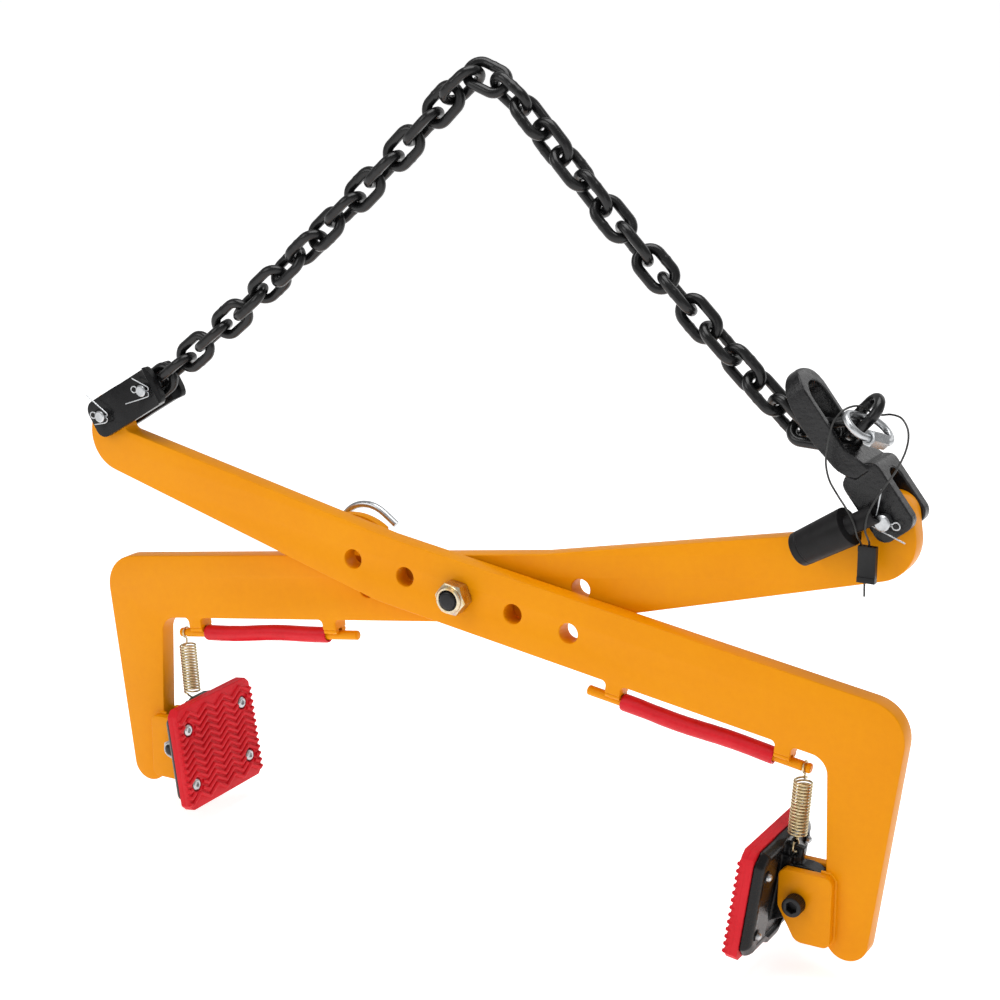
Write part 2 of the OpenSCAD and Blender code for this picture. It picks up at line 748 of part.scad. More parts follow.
ear_gap = arm_t + 1;
ear_round = 9;
belly_r = 70;
belly_p = 86;
body_back = 12;
belly_z = 48.4;
tip_z = sqrt(belly_r * belly_r - (hook_tip - belly_p) * (hook_tip - belly_p)) - belly_z;
window_in = 54;
window_out = 113;

module clevis_hook() {
    color(black) hang() at_hook() difference() {
        union() {
            intersection() {
                union() {
                    translate([hook_tip - body_w / 2, 0, -40]) cylinder(d = body_w, h = 80);
                    translate([28, -body_w / 2, -40]) cube([hook_tip - body_w / 2 - 28, body_w, 80]);
                }
                plate(-30, 60) difference() {
                    intersection() {
                        translate([belly_p, -belly_z]) circle(r = belly_r, $fn = 144);
                        translate([36, -body_back]) square([hook_tip - 36, 60]);
                    }
                    nook([hook_tip, -body_back], 90, 180, 9);
                    nook([hook_tip, tip_z], 146.1, 270, 9);
                }
            }
            plate(-hook_w / 2, hook_w) round_box(-14.5, 42, -18.6, 13.5, ear_round);
        }
        translate([-40, -ear_gap / 2, -40]) cube([40 + 21, ear_gap, 80]);
        translate([21, 0, -40]) cylinder(d = ear_gap, h = 80);
        translate([0, 0, -40]) linear_extrude(height = 80)
            round_box(window_in, window_out - 10, -window_w / 2, window_w / 2, 7);
        translate([window_out - window_w / 2, 0, -40]) cylinder(d = window_w, h = 80);
        pin(-30, 30, clevis_d + 2 * run_fit);
    }
}

module clevis_pin() {
    color(silver) hang() at_hook()
        headed_pin(clevis_d, -hook_w / 2 - 8, hook_w / 2, hook_slope - 172, clevis_d + 6);
}

module clevis_cotter() {
    hang() translate([eye_right[0], -mid_y - hook_w / 2 - 8 + 3.6, eye_right[1]])
        rotate([0, 188, 0]) cotter(clevis_d);
}

// Stepped rubber boot that hangs on the seal wire beside the pin
boot_big = 29;
boot_small = 13.2;
boot_body = 45.5;
boot_neck = 16.5;
boot_wall = 2.5;
boot_slope = 30.6;
boot_place = eye_right + [-66.2, -28.5];
boot_y = front_y + 4.8;

module at_boot() {
    translate([boot_place[0], boot_y, boot_place[1]]) rotate([0, -boot_slope, 0]) rotate([0, 0, -4]) children();
}

module rubber_boot() {
    color(black) hang() at_boot() difference() {
        union() {
            bar(0, boot_body, boot_big);
            bar(boot_body - 0.5, boot_body + boot_neck, boot_small);
        }
        bar(-1, boot_body - boot_wall, boot_big - 2 * boot_wall);
        bar(boot_body - boot_wall - 1, boot_body + boot_neck + 1, boot_small - 2 * boot_wall);
    }
}

tag = [eye_right[0] - 11.7, front_y + 2.5, eye_right[1] - 31.5];

module seal_tag() {
    color(black) hang() translate(tag) difference() {
        translate([-8.2, -2.5, -13.5]) cube([16.4, 5, 27]);
        translate([-8.3, -2.6, -9.5]) cube([16.6, 0.7, 19]);
        for (s = [-3, 3]) translate([s, 0, 4]) cylinder(d = 1.9, h = 12);
        translate([1, 0, -14]) cylinder(d = 1.9, h = 12);
    }
}

// Thin seal wire: up the right side, through the tail link and back down the left
module seal_wire() {
    at = tag - [eye_right[0], 0, eye_right[1]];
    loop = [
        [at[0] + 3, at[1], at[2] + 6], [at[0] + 3.2, at[1], at[2] + 15],
        [-7.2, -22.5, -10.5], [-8.7, -25, -3.5], [-7.1, -24, 8.5], [-0.7, -18.5, 23.5], [8.3, -14, 39.5],
        [13.6, -11, 54.5], [12.3, -5, 65.5], [4.3, 4, 72], [-5.7, 10.6, 72.5], [-12.7, 12.4, 71.1],
        [-18, 10.4, 71], [-21.1, 7.7, 73.8], [-24.2, 5, 76.6], [-29.1, -1.5, 78.5], [-34.7, -9, 76],
        [-39.1, -15, 68.5], [-41.1, -17, 58.5], [-42.1, -17.4, 48.5],
        [-42.7, -17.4, 38.5], [-39.7, -17, 26.5], [-32.7, -17.6, 16.5], [-24.2, -23, 9.5], [-17.2, -25.6, 0.5],
        [-14.7, -24, -9.5], [at[0] - 3.2, at[1], at[2] + 15], [at[0] - 3, at[1], at[2] + 6]];
    end = [[at[0] + 1, at[1], at[2] - 3.5], [at[0] + 1, at[1], at[2] - 16],
        [at[0] + 1.4, at[1] - 0.4, at[2] - 24]];
    color(black) hang() translate([eye_right[0], 0, eye_right[1]]) {
        tube(loop, 1.5, 8);
        tube(end, 1.5, 8);
    }
}

// Stay plate on the rear arm's back, with a hooked rod that swings over
stay = [-142, 13.4];
stay_y = -front_y;
stay_t = 8;
stay_rod = 6;
stay_lobe = 50.4;
stay_side = 11;

module stay_plate() {
    color(orange) hang() difference() {
        plate(stay_y, stay_t) intersection() {
            translate(stay + [21.4, -22.6]) circle(r = stay_lobe);
            round_box(stay[0] - stay_side, stay[0] + 50, stay[1] - 29.4, stay[1] + 46.6, 6);
        }
        translate([stay[0], 0, stay[1]]) pin(stay_y - 1, stay_y + stay_t + 1, stay_rod + 2 * run_fit);
    }
}

module stay_hook() {
    back = stay_y + stay_t + 4;
    bow = 27;
    color(silver) hang() translate([stay[0], 0, stay[1]]) {
        pin(stay_y - 3.6, back - 5, stay_rod);
        pin(stay_y - 3.4, stay_y - 0.6, stay_rod + 4);
        tube(concat(
            [[0, back - 6.5, 0], [0, back - 4, 0.2], [0, back - 1.4, 1.6], [0, back - 0.2, 4], [0, back, 7]],
            [for (a = [170:-12:62]) [bow + bow * cos(a), back, 7 + bow * sin(a)]],
            [[bow + bow * cos(55) + 1, back, 7 + bow * sin(55) - 0.6],
                [bow + bow * cos(55) + 12.5, back, 7 + bow * sin(55) - 8.6]]),
            stay_rod, 12);
    }
}

lifting_link();
left_chain();
right_chain();
bend_link();
slot_link();
tail_link();
stop_ring();
stop_ring_sleeve();
strap(-1);  // strap_front
strap(1);  // strap_rear
strap_pin(false);  // strap_pin_lower
strap_pin(true);  // strap_pin_upper
strap_cotters();
arm(false);  // front_arm
arm(true);  // rear_arm
cheeks(false);  // front_cheeks
cheeks(true);  // rear_cheeks
handle_rod(false);  // front_rod
handle_rod(true);  // rear_rod
grip(false);  // front_grip
grip(true);  // rear_grip
pad_casting(false);  // front_pad
pad_casting(true);  // rear_pad
pad_rubber(false);  // front_rubber
pad_rubber(true);  // rear_rubber
pad_screws(false);  // front_screws
pad_screws(true);  // rear_screws
pad_nuts(false);  // front_screw_nuts
pad_nuts(true);  // rear_screw_nuts
swivel_bolt(false);  // front_swivel_bolt
swivel_bolt(true);  // rear_swivel_bolt
swivel_nut(false);  // front_swivel_nut
swivel_nut(true);  // rear_swivel_nut
spring(false);  // front_spring
spring(true);  // rear_spring
pivot_bolt();
pivot_nut();
pivot_washer();
clevis_hook();
clevis_pin();
clevis_cotter();
rubber_boot();
seal_tag();
seal_wire();
stay_plate();
stay_hook();
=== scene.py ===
import bpy
import bmesh
from math import sin, cos, tan, exp, pi, radians, degrees, atan2, sqrt
from mathutils import Matrix, Vector, noise

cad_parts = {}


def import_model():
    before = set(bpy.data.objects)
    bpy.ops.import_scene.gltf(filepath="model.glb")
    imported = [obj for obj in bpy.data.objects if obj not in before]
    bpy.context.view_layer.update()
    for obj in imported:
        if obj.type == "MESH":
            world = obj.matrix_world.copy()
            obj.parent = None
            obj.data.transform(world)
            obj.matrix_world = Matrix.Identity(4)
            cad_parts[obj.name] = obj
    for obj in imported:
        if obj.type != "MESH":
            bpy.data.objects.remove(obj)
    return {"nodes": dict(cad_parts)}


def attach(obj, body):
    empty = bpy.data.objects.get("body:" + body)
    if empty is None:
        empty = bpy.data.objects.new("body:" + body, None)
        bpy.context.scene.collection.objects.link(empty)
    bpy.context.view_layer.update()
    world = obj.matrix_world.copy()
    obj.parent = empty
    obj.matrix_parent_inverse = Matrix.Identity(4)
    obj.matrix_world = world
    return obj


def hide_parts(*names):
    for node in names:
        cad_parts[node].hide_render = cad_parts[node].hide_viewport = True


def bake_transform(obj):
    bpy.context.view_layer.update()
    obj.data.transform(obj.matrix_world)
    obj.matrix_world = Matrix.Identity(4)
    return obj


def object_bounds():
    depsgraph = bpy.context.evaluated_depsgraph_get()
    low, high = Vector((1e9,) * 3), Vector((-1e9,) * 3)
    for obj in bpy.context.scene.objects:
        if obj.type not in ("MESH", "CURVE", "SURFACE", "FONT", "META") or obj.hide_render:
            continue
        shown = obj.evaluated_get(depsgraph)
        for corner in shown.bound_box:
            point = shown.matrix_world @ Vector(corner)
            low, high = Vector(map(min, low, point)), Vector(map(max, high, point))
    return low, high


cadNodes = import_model()["nodes"]
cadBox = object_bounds()
scene = bpy.context.scene
print("frame loaded:", len(cadNodes), "nodes")


# Millimetre frames, the same as the part's source uses
def shift(x, y, z):
    return Matrix.Translation((x, y, z))


def spin(axis, angle):
    return Matrix.Rotation(radians(angle), 4, axis)


def step(point, angle, reach):
    return (point[0] + reach * cos(radians(angle)), point[1] + reach * sin(radians(angle)))


def turned2(point, angle):
    a = radians(angle)
    return (point[0] * cos(a) - point[1] * sin(a), point[0] * sin(a) + point[1] * cos(a))


poseSet = {"lean": 8.7, "aside": 17.5, "drop": 402.7, "tilt": 8, "strapSlope": 31.3, "hookSlope": 128.1}
armSet = {"eye": (-358, 54), "y": 10, "half": 28, "inner": 321.4, "innerLean": 10.64, "swivel": 144,
          "swivelGap": 20.7, "tabs": (286.5, 144.3), "tabHalf": 6.5, "tabDrop": 36.9, "ease": 0.9, "thick": 16,
          "holes": 16.18, "pitch": 50, "weld": 1.2}
pinGap = 51.4
eyeLeft = turned2(armSet["eye"], -poseSet["lean"])
eyeRight = (-eyeLeft[0], eyeLeft[1])
strapEnd = step(eyeLeft, poseSet["strapSlope"], pinGap)
hang = shift(-poseSet["aside"], 0, -poseSet["drop"])
sides = ("front", "rear")
sideFrame = {s: hang @ spin("Z", 180 if s == "rear" else 0) for s in sides}
armFrame = {s: sideFrame[s] @ spin("Y", poseSet["lean"]) for s in sides}
swivelRun = (armSet["swivel"] - armSet["half"]) * tan(radians(armSet["innerLean"]))
swivelSpot = (armSet["inner"] + swivelRun - armSet["swivelGap"], -armSet["swivel"])
swivelFrame = {s: armFrame[s] @ shift(swivelSpot[0], -armSet["y"], swivelSpot[1]) @ spin("Y", -poseSet["lean"])
               for s in sides}
padFrame = {s: swivelFrame[s] @ spin("Y", poseSet["tilt"]) for s in sides}
strapFrame = hang @ shift(eyeLeft[0], -armSet["y"], eyeLeft[1]) @ spin("Y", -poseSet["strapSlope"])
pinFrame = hang @ shift(eyeRight[0], 0, eyeRight[1])
hookFrame = pinFrame @ shift(0, armSet["y"], 0) @ spin("Y", -poseSet["hookSlope"])
alongY = spin("Z", 90)   # a turned shape's axis from X to Y
faceUp = spin("X", 90)   # a flat shape into the pose plane


def linked(name, data):
    item = bpy.data.objects.new(name, data)
    scene.collection.objects.link(item)
    return item


# Camera of the photograph
cameraSet = {"azimuth": 29.62, "elevation": 15.37, "place": (0.8174, -1.4187, 0.1237), "lens": 77.9}
az, el = radians(cameraSet["azimuth"]), radians(cameraSet["elevation"])
back = Vector((sin(az) * cos(el), -cos(az) * cos(el), sin(el)))
right = Vector((cos(az), sin(az), 0))
up = back.cross(right)
cameraData = bpy.data.cameras.new("studioCamera")
cameraData.lens = cameraSet["lens"]
cameraData.sensor_width = 36
cameraData.sensor_fit = "HORIZONTAL"
cameraData.clip_end = 200
camera = linked("studioCamera", cameraData)
place = Matrix((right, up, back)).transposed().to_4x4()
place.translation = cameraSet["place"]
camera.matrix_world = place
scene.camera = camera


# Colours and shader helpers
def lin(code):
    parts = [int(code[i:i + 2], 16) / 255 for i in (0, 2, 4)]
    return [c / 12.92 if c <= 0.04045 else ((c + 0.055) / 1.055) ** 2.4 for c in parts] + [1]


def addNode(tree, kind, sockets=None, **settings):
    node = tree.nodes.new(kind)
    for key, value in settings.items():
        setattr(node, key, value)
    for key, value in (sockets or {}).items():
        if isinstance(value, bpy.types.NodeSocket):
            tree.links.new(value, node.inputs[key])
        else:
            node.inputs[key].default_value = value
    return node


def grain(tree, place, size, detail, rough=0.55):
    scaled = addNode(tree, "ShaderNodeMapping", {"Vector": place, "Scale": [1 / size] * 3})
    return addNode(tree, "ShaderNodeTexNoise", {"Vector": scaled.outputs["Vector"], "Scale": 1.0,
                                                "Detail": detail, "Roughness": rough}).outputs["Fac"]


# A finish from its tones at their spots on the ramp, patch sizes in metres, gloss range and surface relief
def makeFinish(name, look):
    material = bpy.data.materials.new(name)
    material.use_nodes = True
    tree = material.node_tree
    shader = tree.nodes["Principled BSDF"]
    place = addNode(tree, "ShaderNodeTexCoord").outputs["Object"]
    broad = grain(tree, place, look["patch"], 4)
    fine = grain(tree, place, look["fine"], 5, 0.65)
    blend = addNode(tree, "ShaderNodeMix", {0: look.get("fineShare", 0.4), 2: broad, 3: fine}).outputs[0]
    stops = addNode(tree, "ShaderNodeValToRGB", {"Fac": blend})
    elements = stops.color_ramp.elements
    while len(elements) < len(look["tones"]):
        elements.new(0.5)
    for element, spot, code in zip(elements, look.get("spots", (0.3, 0.5, 0.72)), look["tones"]):
        element.position, element.color = spot, lin(code)
    colour = stops.outputs["Color"]
    if "dust" in look:
        code, low, high, size = look["dust"]
        speck = grain(tree, place, size, 8, 0.75)
        mask = addNode(tree, "ShaderNodeMapRange", {"Value": speck, "From Min": low, "From Max": high})
        colour = addNode(tree, "ShaderNodeMix", {0: mask.outputs[0], 6: colour, 7: lin(code)},
                         data_type="RGBA").outputs[2]
    tree.links.new(colour, shader.inputs["Base Color"])
    gloss = addNode(tree, "ShaderNodeMapRange", {"Value": fine, "From Min": 0.3, "From Max": 0.7,
                                                 "To Min": look["gloss"][0], "To Max": look["gloss"][1]})
    tree.links.new(gloss.outputs[0], shader.inputs["Roughness"])
    shader.inputs["Metallic"].default_value = look.get("metal", 0)
    if "specular" in look:
        shader.inputs["Specular IOR Level"].default_value = look["specular"]
    normal = None
    for size, depth in look["relief"]:
        height = grain(tree, place, size, 4, 0.6)
        sockets = {"Height": height, "Distance": depth, "Strength": 1.0}
        if normal:
            sockets["Normal"] = normal
        normal = addNode(tree, "ShaderNodeBump", sockets).outputs["Normal"]
    tree.links.new(normal, shader.inputs["Normal"])
    return material


looks = {
    # sprayed enamel with a little orange peel and dust
    "orangePaint": {
        "tones": ("DC8800", "E08D00", "E39200"), "spots": (0.3, 0.5, 0.7), "patch": 0.09, "fine": 0.006,
        "gloss": (0.30, 0.42), "specular": 0.12, "relief": [(0.0035, 0.00006), (0.0009, 0.000012)],
        "dust": ("C47A08", 0.66, 0.86, 0.012)},
    # black-painted alloy chain, satin with rubbed grey spots
    "blackChain": {
        "tones": ("0A0A0A", "111112", "1B1B1C"), "spots": (0.3, 0.55, 0.75), "patch": 0.02, "fine": 0.0022,
        "gloss": (0.16, 0.30), "specular": 0.36, "relief": [(0.004, 0.00012), (0.0012, 0.00004)],
        "dust": ("47433F", 0.70, 0.86, 0.005)},
    # painted sand casting, fine pebbled skin
    "blackCasting": {
        "tones": ("0D0D0E", "131314", "1E1E1F"), "spots": (0.3, 0.5, 0.75), "patch": 0.03, "fine": 0.0016,
        "gloss": (0.16, 0.30), "specular": 0.2, "relief": [(0.0022, 0.00018), (0.0008, 0.00004)],
        "dust": ("4A4743", 0.68, 0.86, 0.006)},
    # forged hook in black oil-blacking over scale
    "blackForging": {
        "tones": ("0E0E0F", "161617", "242425"), "spots": (0.3, 0.5, 0.75), "patch": 0.035, "fine": 0.0024,
        "gloss": (0.13, 0.28), "specular": 0.34, "relief": [(0.005, 0.0005), (0.0018, 0.00022)],
        "dust": ("55524E", 0.68, 0.86, 0.006)},
    # black-painted strap steel
    "blackPaint": {
        "tones": ("0A0A0B", "0F0F10", "19191A"), "spots": (0.3, 0.5, 0.75), "patch": 0.03, "fine": 0.003,
        "gloss": (0.2, 0.34), "specular": 0.2, "relief": [(0.003, 0.00009), (0.0009, 0.00003)],
        "dust": ("4C4945", 0.70, 0.87, 0.006)},
    # moulded red polyurethane, matt with mould bloom
    "redRubber": {
        "tones": ("B8101C", "C61522", "CF1F2B"), "patch": 0.03, "fine": 0.003,
        "gloss": (0.42, 0.58), "specular": 0.18, "relief": [(0.0022, 0.00006), (0.0006, 0.00002)],
        "dust": ("C84B52", 0.70, 0.92, 0.007)},
    # extruded red hose sleeve, slightly glossy
    "redHose": {
        "tones": ("BE101C", "CC1724", "D4242F"), "patch": 0.02, "fine": 0.003,
        "gloss": (0.30, 0.44), "specular": 0.24, "relief": [(0.006, 0.00015), (0.0008, 0.00002)]},
    # bright zinc plating
    "zincSilver": {
        "tones": ("9C9EA0", "B8BABC", "CDCFD0"), "patch": 0.008, "fine": 0.0012,
        "gloss": (0.22, 0.40), "metal": 1, "relief": [(0.0012, 0.00002), (0.0004, 0.000008)],
        "dust": ("77736C", 0.66, 0.86, 0.003)},
    # yellow chromate zinc with its rainbow patches
    "yellowZinc": {
        "tones": ("A79AAE", "BDA88A", "CFC4AC", "BFA46A", "C08C74"), "spots": (0.28, 0.4, 0.5, 0.6, 0.72),
        "patch": 0.009, "fine": 0.0014, "fineShare": 0.25, "gloss": (0.22, 0.38), "metal": 1,
        "relief": [(0.0012, 0.00002)]},
    # blackened screws and bolts
    "blackOxide": {
        "tones": ("121213", "1B1B1D", "28282A"), "patch": 0.008, "fine": 0.0012,
        "gloss": (0.24, 0.38), "metal": 0.5, "relief": [(0.0012, 0.00002)]},
    # soft black rubber of the boot
    "blackRubber": {
        "tones": ("0F0F0F", "161516", "1E1D1E"), "patch": 0.012, "fine": 0.0016,
        "gloss": (0.36, 0.52), "specular": 0.18, "relief": [(0.0015, 0.00004), (0.0005, 0.00002)],
        "dust": ("4E4A4C", 0.68, 0.88, 0.004)},
    # moulded black plastic tag
    "blackPlastic": {
        "tones": ("0F0F10", "161617", "1E1E1F"), "patch": 0.01, "fine": 0.001,
        "gloss": (0.3, 0.44), "specular": 0.25, "relief": [(0.0008, 0.00003)]},
    # seal wire, dark plastic-coated strand
    "coatedWire": {
        "tones": ("1A1A1A", "242423", "3A3836"), "patch": 0.006, "fine": 0.0008,
        "gloss": (0.3, 0.44), "relief": [(0.0008, 0.00004)]},
    # spring wire with a thin yellow zinc
    "springWire": {
        "tones": ("A8936C", "CDBA90", "E2D6B6"), "patch": 0.006, "fine": 0.0009,
        "gloss": (0.24, 0.4), "metal": 1, "relief": [(0.0008, 0.00001)]},
}
finishes = {name: makeFinish(name, look) for name, look in looks.items()}
print("finishes made:", len(finishes))


# Shapes are (points in millimetres, faces); a piece joins them, goes to metres and rides on a body
def moved(shape, matrix):
    points, faces = shape
    return [matrix @ Vector(p) for p in points], faces


def joined(shapes):
    points, faces = [], []
    for ownPoints, ownFaces in shapes:
        start = len(points)
        points.extend(ownPoints)
        faces.extend(tuple(i + start for i in face) for face in ownFaces)
    return points, faces


def shapeOf(mesh):
    return [v.co.copy() for v in mesh.vertices], [tuple(p.vertices) for p in mesh.polygons]


def shapeFrom(holder):
    bpy.context.view_layer.update()
    mesh = bpy.data.meshes.new_from_object(holder.evaluated_get(bpy.context.evaluated_depsgraph_get()))
    bpy.data.objects.remove(holder)
    return shapeOf(mesh)


# One plain mesh from a shape in row millimetres and its finish, and from more such pairs if given
def makePiece(name, shape, finish, body, node, sharp=32, more=()):
    mesh = bpy.data.meshes.new(name)
    build = bmesh.new()
    for index, ((points, faces), look) in enumerate([(shape, finish), *more]):
        mesh.materials.append(finishes[look])
        own = [build.verts.new(Vector(p) * 0.001) for p in points]
        for face in faces:
            try:
                made = build.faces.new([own[i] for i in face])
            except ValueError:
                continue
            made.material_index = index
            made.smooth = True
    bmesh.ops.remove_doubles(build, verts=build.verts, dist=0.000004)
    bmesh.ops.dissolve_degenerate(build, edges=build.edges, dist=0.000002)
    bmesh.ops.recalc_face_normals(build, faces=build.faces)
    build.to_mesh(mesh)
    build.free()
    mesh.set_sharp_from_angle(angle=radians(sharp))
    item = linked(name, mesh)
    if node:
        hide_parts(node)
    if body:
        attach(item, body)
    return item


def sidePiece(side, label, shape, finish, body, node, sharp=32):
    makePiece(side + label, shape, finish, side + body, side + node, sharp)


def rounded(corners):
    loop = []
    count = len(corners)
    for i, (x, y, r) in enumerate(corners):
        here = Vector((x, y))
        a = (Vector(corners[i - 1][:2]) - here).normalized()
        b = (Vector(corners[(i + 1) % count][:2]) - here).normalized()
        if r < 0.05:
            loop.append(here)
            continue
        half = a.angle(b) / 2
        centre = here + (a + b).normalized() * r / sin(half)
        start, end = here + a * r / tan(half), here + b * r / tan(half)
        first = atan2(*(start - centre).yx)
        sweep = (atan2(*(end - centre).yx) - first + pi) % (2 * pi) - pi
        parts = max(2, int(abs(degrees(sweep)) / 7))   # a point every seven degrees
        loop.extend(centre + r * Vector((cos(first + sweep * k / parts), sin(first + sweep * k / parts)))
                    for k in range(parts + 1))
    return loop


def circleLoop(x, y, r, count=48):
    return [Vector((x + r * cos(2 * pi * k / count), y + r * sin(2 * pi * k / count))) for k in range(count)]


def addLine(data, points, closed=True):
    spline = data.splines.new("POLY")
    spline.points.add(len(points) - 1)
    for point, spot in zip(spline.points, points):
        point.co = (*spot, 1) if data.dimensions == "3D" else (*spot, 0, 1)
    spline.use_cyclic_u = closed


# Filled outline with holes and eased edges, centred on its own plane
def plateShape(loops, thick, ease):
    data = bpy.data.curves.new("outline", "CURVE")
    data.dimensions = "2D"
    data.fill_mode = "BOTH"
    data.extrude = thick / 2 - ease
    data.bevel_depth = ease
    data.bevel_resolution = 2
    data.offset = -ease
    for loop in loops:
        addLine(data, loop)
    return shapeFrom(linked("outline", data))


# Rings about X from (x, radius) rows, or from a function of the angle that gives such rows
def turnedShape(profile, steps=48):
    rows = []
    for k in range(steps):
        a = 2 * pi * k / steps
        row = profile(a) if callable(profile) else profile
        rows.append([(x, r * cos(a), r * sin(a)) for x, r in row])
    n = len(rows[0])
    points = [p for row in rows for p in row]
    faces = [(k * n + i, k * n + i + 1, (k + 1) % steps * n + i + 1, (k + 1) % steps * n + i)
             for k in range(steps) for i in range(n - 1)]
    return points, faces


hexSet = {"face": 0.478, "slope": 0.58}   # turned face as a share of the flats, slope of the cut corners


def hexReach(a, flat):
    return flat / 2 / cos((a + pi / 6) % (pi / 3) - pi / 6)


def hexShape(flat, length, hole, collar=None):
    def row(a):
        reach = hexReach(a, flat)
        face = flat * hexSet["face"]
        cut = max(0, reach - face) * hexSet["slope"]
        rows = [(0.6, hole / 2), (0, hole / 2 + 0.6), (0, face), (cut, reach), (length - cut, reach), (length, face)]
        end = length
        if collar:
            width, rise = collar
            end += rise
            rows += [(length, width / 2 + 0.4), (length + 0.5, width / 2), (end - 1, width / 2), (end, width / 2 - 1)]
        return rows + [(end, hole / 2 + 0.6), (end - 0.6, hole / 2), (0.6, hole / 2)]
    return turnedShape(row, 96)


def threadRow(a, x0, x1, d, pitch, depth):
    count = max(4, int((x1 - x0) / pitch * 6))
    rows = []
    for k in range(count + 1):
        x = x0 + (x1 - x0) * k / count
        phase = (x / pitch - a / (2 * pi)) % 1
        rows.append((x, d / 2 - depth * (1 - abs(2 * phase - 1))))
    return rows


# A threaded shank from x0 to a chamfered end at x1
def boltEnd(a, x0, x1, d, pitch, depth):
    rows = threadRow(a, x0, x1 - 1.2, d, pitch, depth)
    root = d / 2 - depth
    return rows + [(x1 - 1.2, root), (x1 - 0.3, root - 0.8), (x1, root - 1.6), (x1 + 0.01, 0)]


# Geometry-node trees: one carries a section along paths, one puts a part on spots
def makeTree(name, inputs):
    tree = bpy.data.node_groups.new(name, "GeometryNodeTree")
    tree.interface.new_socket(name="Geometry", in_out="INPUT", socket_type="NodeSocketGeometry")
    for label, kind in inputs:
        tree.interface.new_socket(name=label, in_out="INPUT", socket_type=kind)
    tree.interface.new_socket(name="Geometry", in_out="OUTPUT", socket_type="NodeSocketGeometry")
    return tree, tree.nodes.new("NodeGroupInput")


def endTree(tree, made, finish):
    real = addNode(tree, "GeometryNodeRealizeInstances", {"Geometry": made})
    paint = addNode(tree, "GeometryNodeSetMaterial", {"Geometry": real.outputs[0], "Material": finish})
    tree.links.new(paint.outputs[0], tree.nodes.new("NodeGroupOutput").inputs[0])


pathTree, source = makeTree("sectionOnPath", [
    ("Section", "NodeSocketObject"), ("Wave", "NodeSocketFloat"), ("Wave Size", "NodeSocketFloat"),
    ("Finish", "NodeSocketMaterial")])
noiseNode = addNode(pathTree, "ShaderNodeTexNoise", {"Scale": source.outputs["Wave Size"], "Detail": 1.0})
swell = addNode(pathTree, "ShaderNodeMath", {0: noiseNode.outputs["Fac"], 1: source.outputs["Wave"], 2: 1.0},
                operation="MULTIPLY_ADD")
flatCurve = addNode(pathTree, "GeometryNodeSetCurveNormal", {"Curve": source.outputs["Geometry"]})
sectionInfo = addNode(pathTree, "GeometryNodeObjectInfo", {"Object": source.outputs["Section"]})
sweepNode = addNode(pathTree, "GeometryNodeCurveToMesh", {
    "Curve": flatCurve.outputs[0], "Profile Curve": sectionInfo.outputs["Geometry"], "Fill Caps": True,
    "Scale": swell.outputs[0]})
endTree(pathTree, sweepNode.outputs[0], source.outputs["Finish"])

spotTree, source = makeTree("partOnSpots", [
    ("Part", "NodeSocketObject"), ("Finish", "NodeSocketMaterial")])
partInfo = addNode(spotTree, "GeometryNodeObjectInfo", {"Object": source.outputs["Part"]})
turnRead = addNode(spotTree, "GeometryNodeInputNamedAttribute", {"Name": "turn"}, data_type="FLOAT_VECTOR")
turnNode = addNode(spotTree, "FunctionNodeEulerToRotation", {"Euler": turnRead.outputs["Attribute"]})
putNode = addNode(spotTree, "GeometryNodeInstanceOnPoints", {
    "Points": source.outputs["Geometry"], "Instance": partInfo.outputs["Geometry"], "Rotation": turnNode.outputs[0]})
endTree(spotTree, putNode.outputs[0], source.outputs["Finish"])


def treeShape(data, tree, values, helper):
    holder = linked(tree.name, data)
    modifier = holder.modifiers.new(tree.name, "NODES")
    modifier.node_group = tree
    for item in tree.interface.items_tree:
        if item.item_type == "SOCKET" and item.in_out == "INPUT" and item.name in values:
            modifier[item.identifier] = values[item.name]
    shape = shapeFrom(holder)
    bpy.data.objects.remove(helper)
    return shape


# Section outline carried along each path by the geometry-node tree
def sweptShape(paths, section, closed=False, wave=0.0, waveSize=0.1, finish="zincSilver"):
    data = bpy.data.curves.new("path", "CURVE")
    data.dimensions = "3D"
    for path in paths:
        addLine(data, path, closed)
    sectionData = bpy.data.curves.new("section", "CURVE")
    sectionData.dimensions = "2D"
    sectionData.fill_mode = "NONE"
    addLine(sectionData, section)
    outline = linked("section", sectionData)
    values = {"Section": outline, "Wave": wave, "Wave Size": waveSize, "Finish": finishes[finish]}
    return treeShape(data, pathTree, values, outline)


def wireShape(path, r, closed=False, count=14, **more):
    return sweptShape([path], circleLoop(0, 0, r, count), closed, **more)


# Copies of a shape at each frame, set down by the geometry-node tree
def spottedShape(shape, frames, finish):
    part = bpy.data.meshes.new("part")
    part.from_pydata(shape[0], [], shape[1])
    partObject = linked("part", part)
    spots = bpy.data.meshes.new("spots")
    spots.from_pydata([f.to_translation() for f in frames], [], [])
    turns = spots.attributes.new("turn", "FLOAT_VECTOR", "POINT")
    for item, f in zip(turns.data, frames):
        item.vector = f.to_euler("XYZ")
    return treeShape(spots, spotTree, {"Part": partObject, "Finish": finishes[finish]}, partObject)


# Catmull-Rom curve through the points
def smoothPath(points, parts=6):
    pts = [Vector(p) for p in points]
    pts = [pts[0] * 2 - pts[1]] + pts + [pts[-1] * 2 - pts[-2]]
    out = []
    for p0, p1, p2, p3 in zip(pts, pts[1:], pts[2:], pts[3:]):
        for k in range(parts):
            t = k / parts
            out.append(0.5 * (2 * p1 + (p2 - p0) * t + (2 * p0 - 5 * p1 + 4 * p2 - p3) * t * t
                              + (3 * p1 - p0 - 3 * p2 + p3) * t ** 3))
    return out + [pts[-2]]


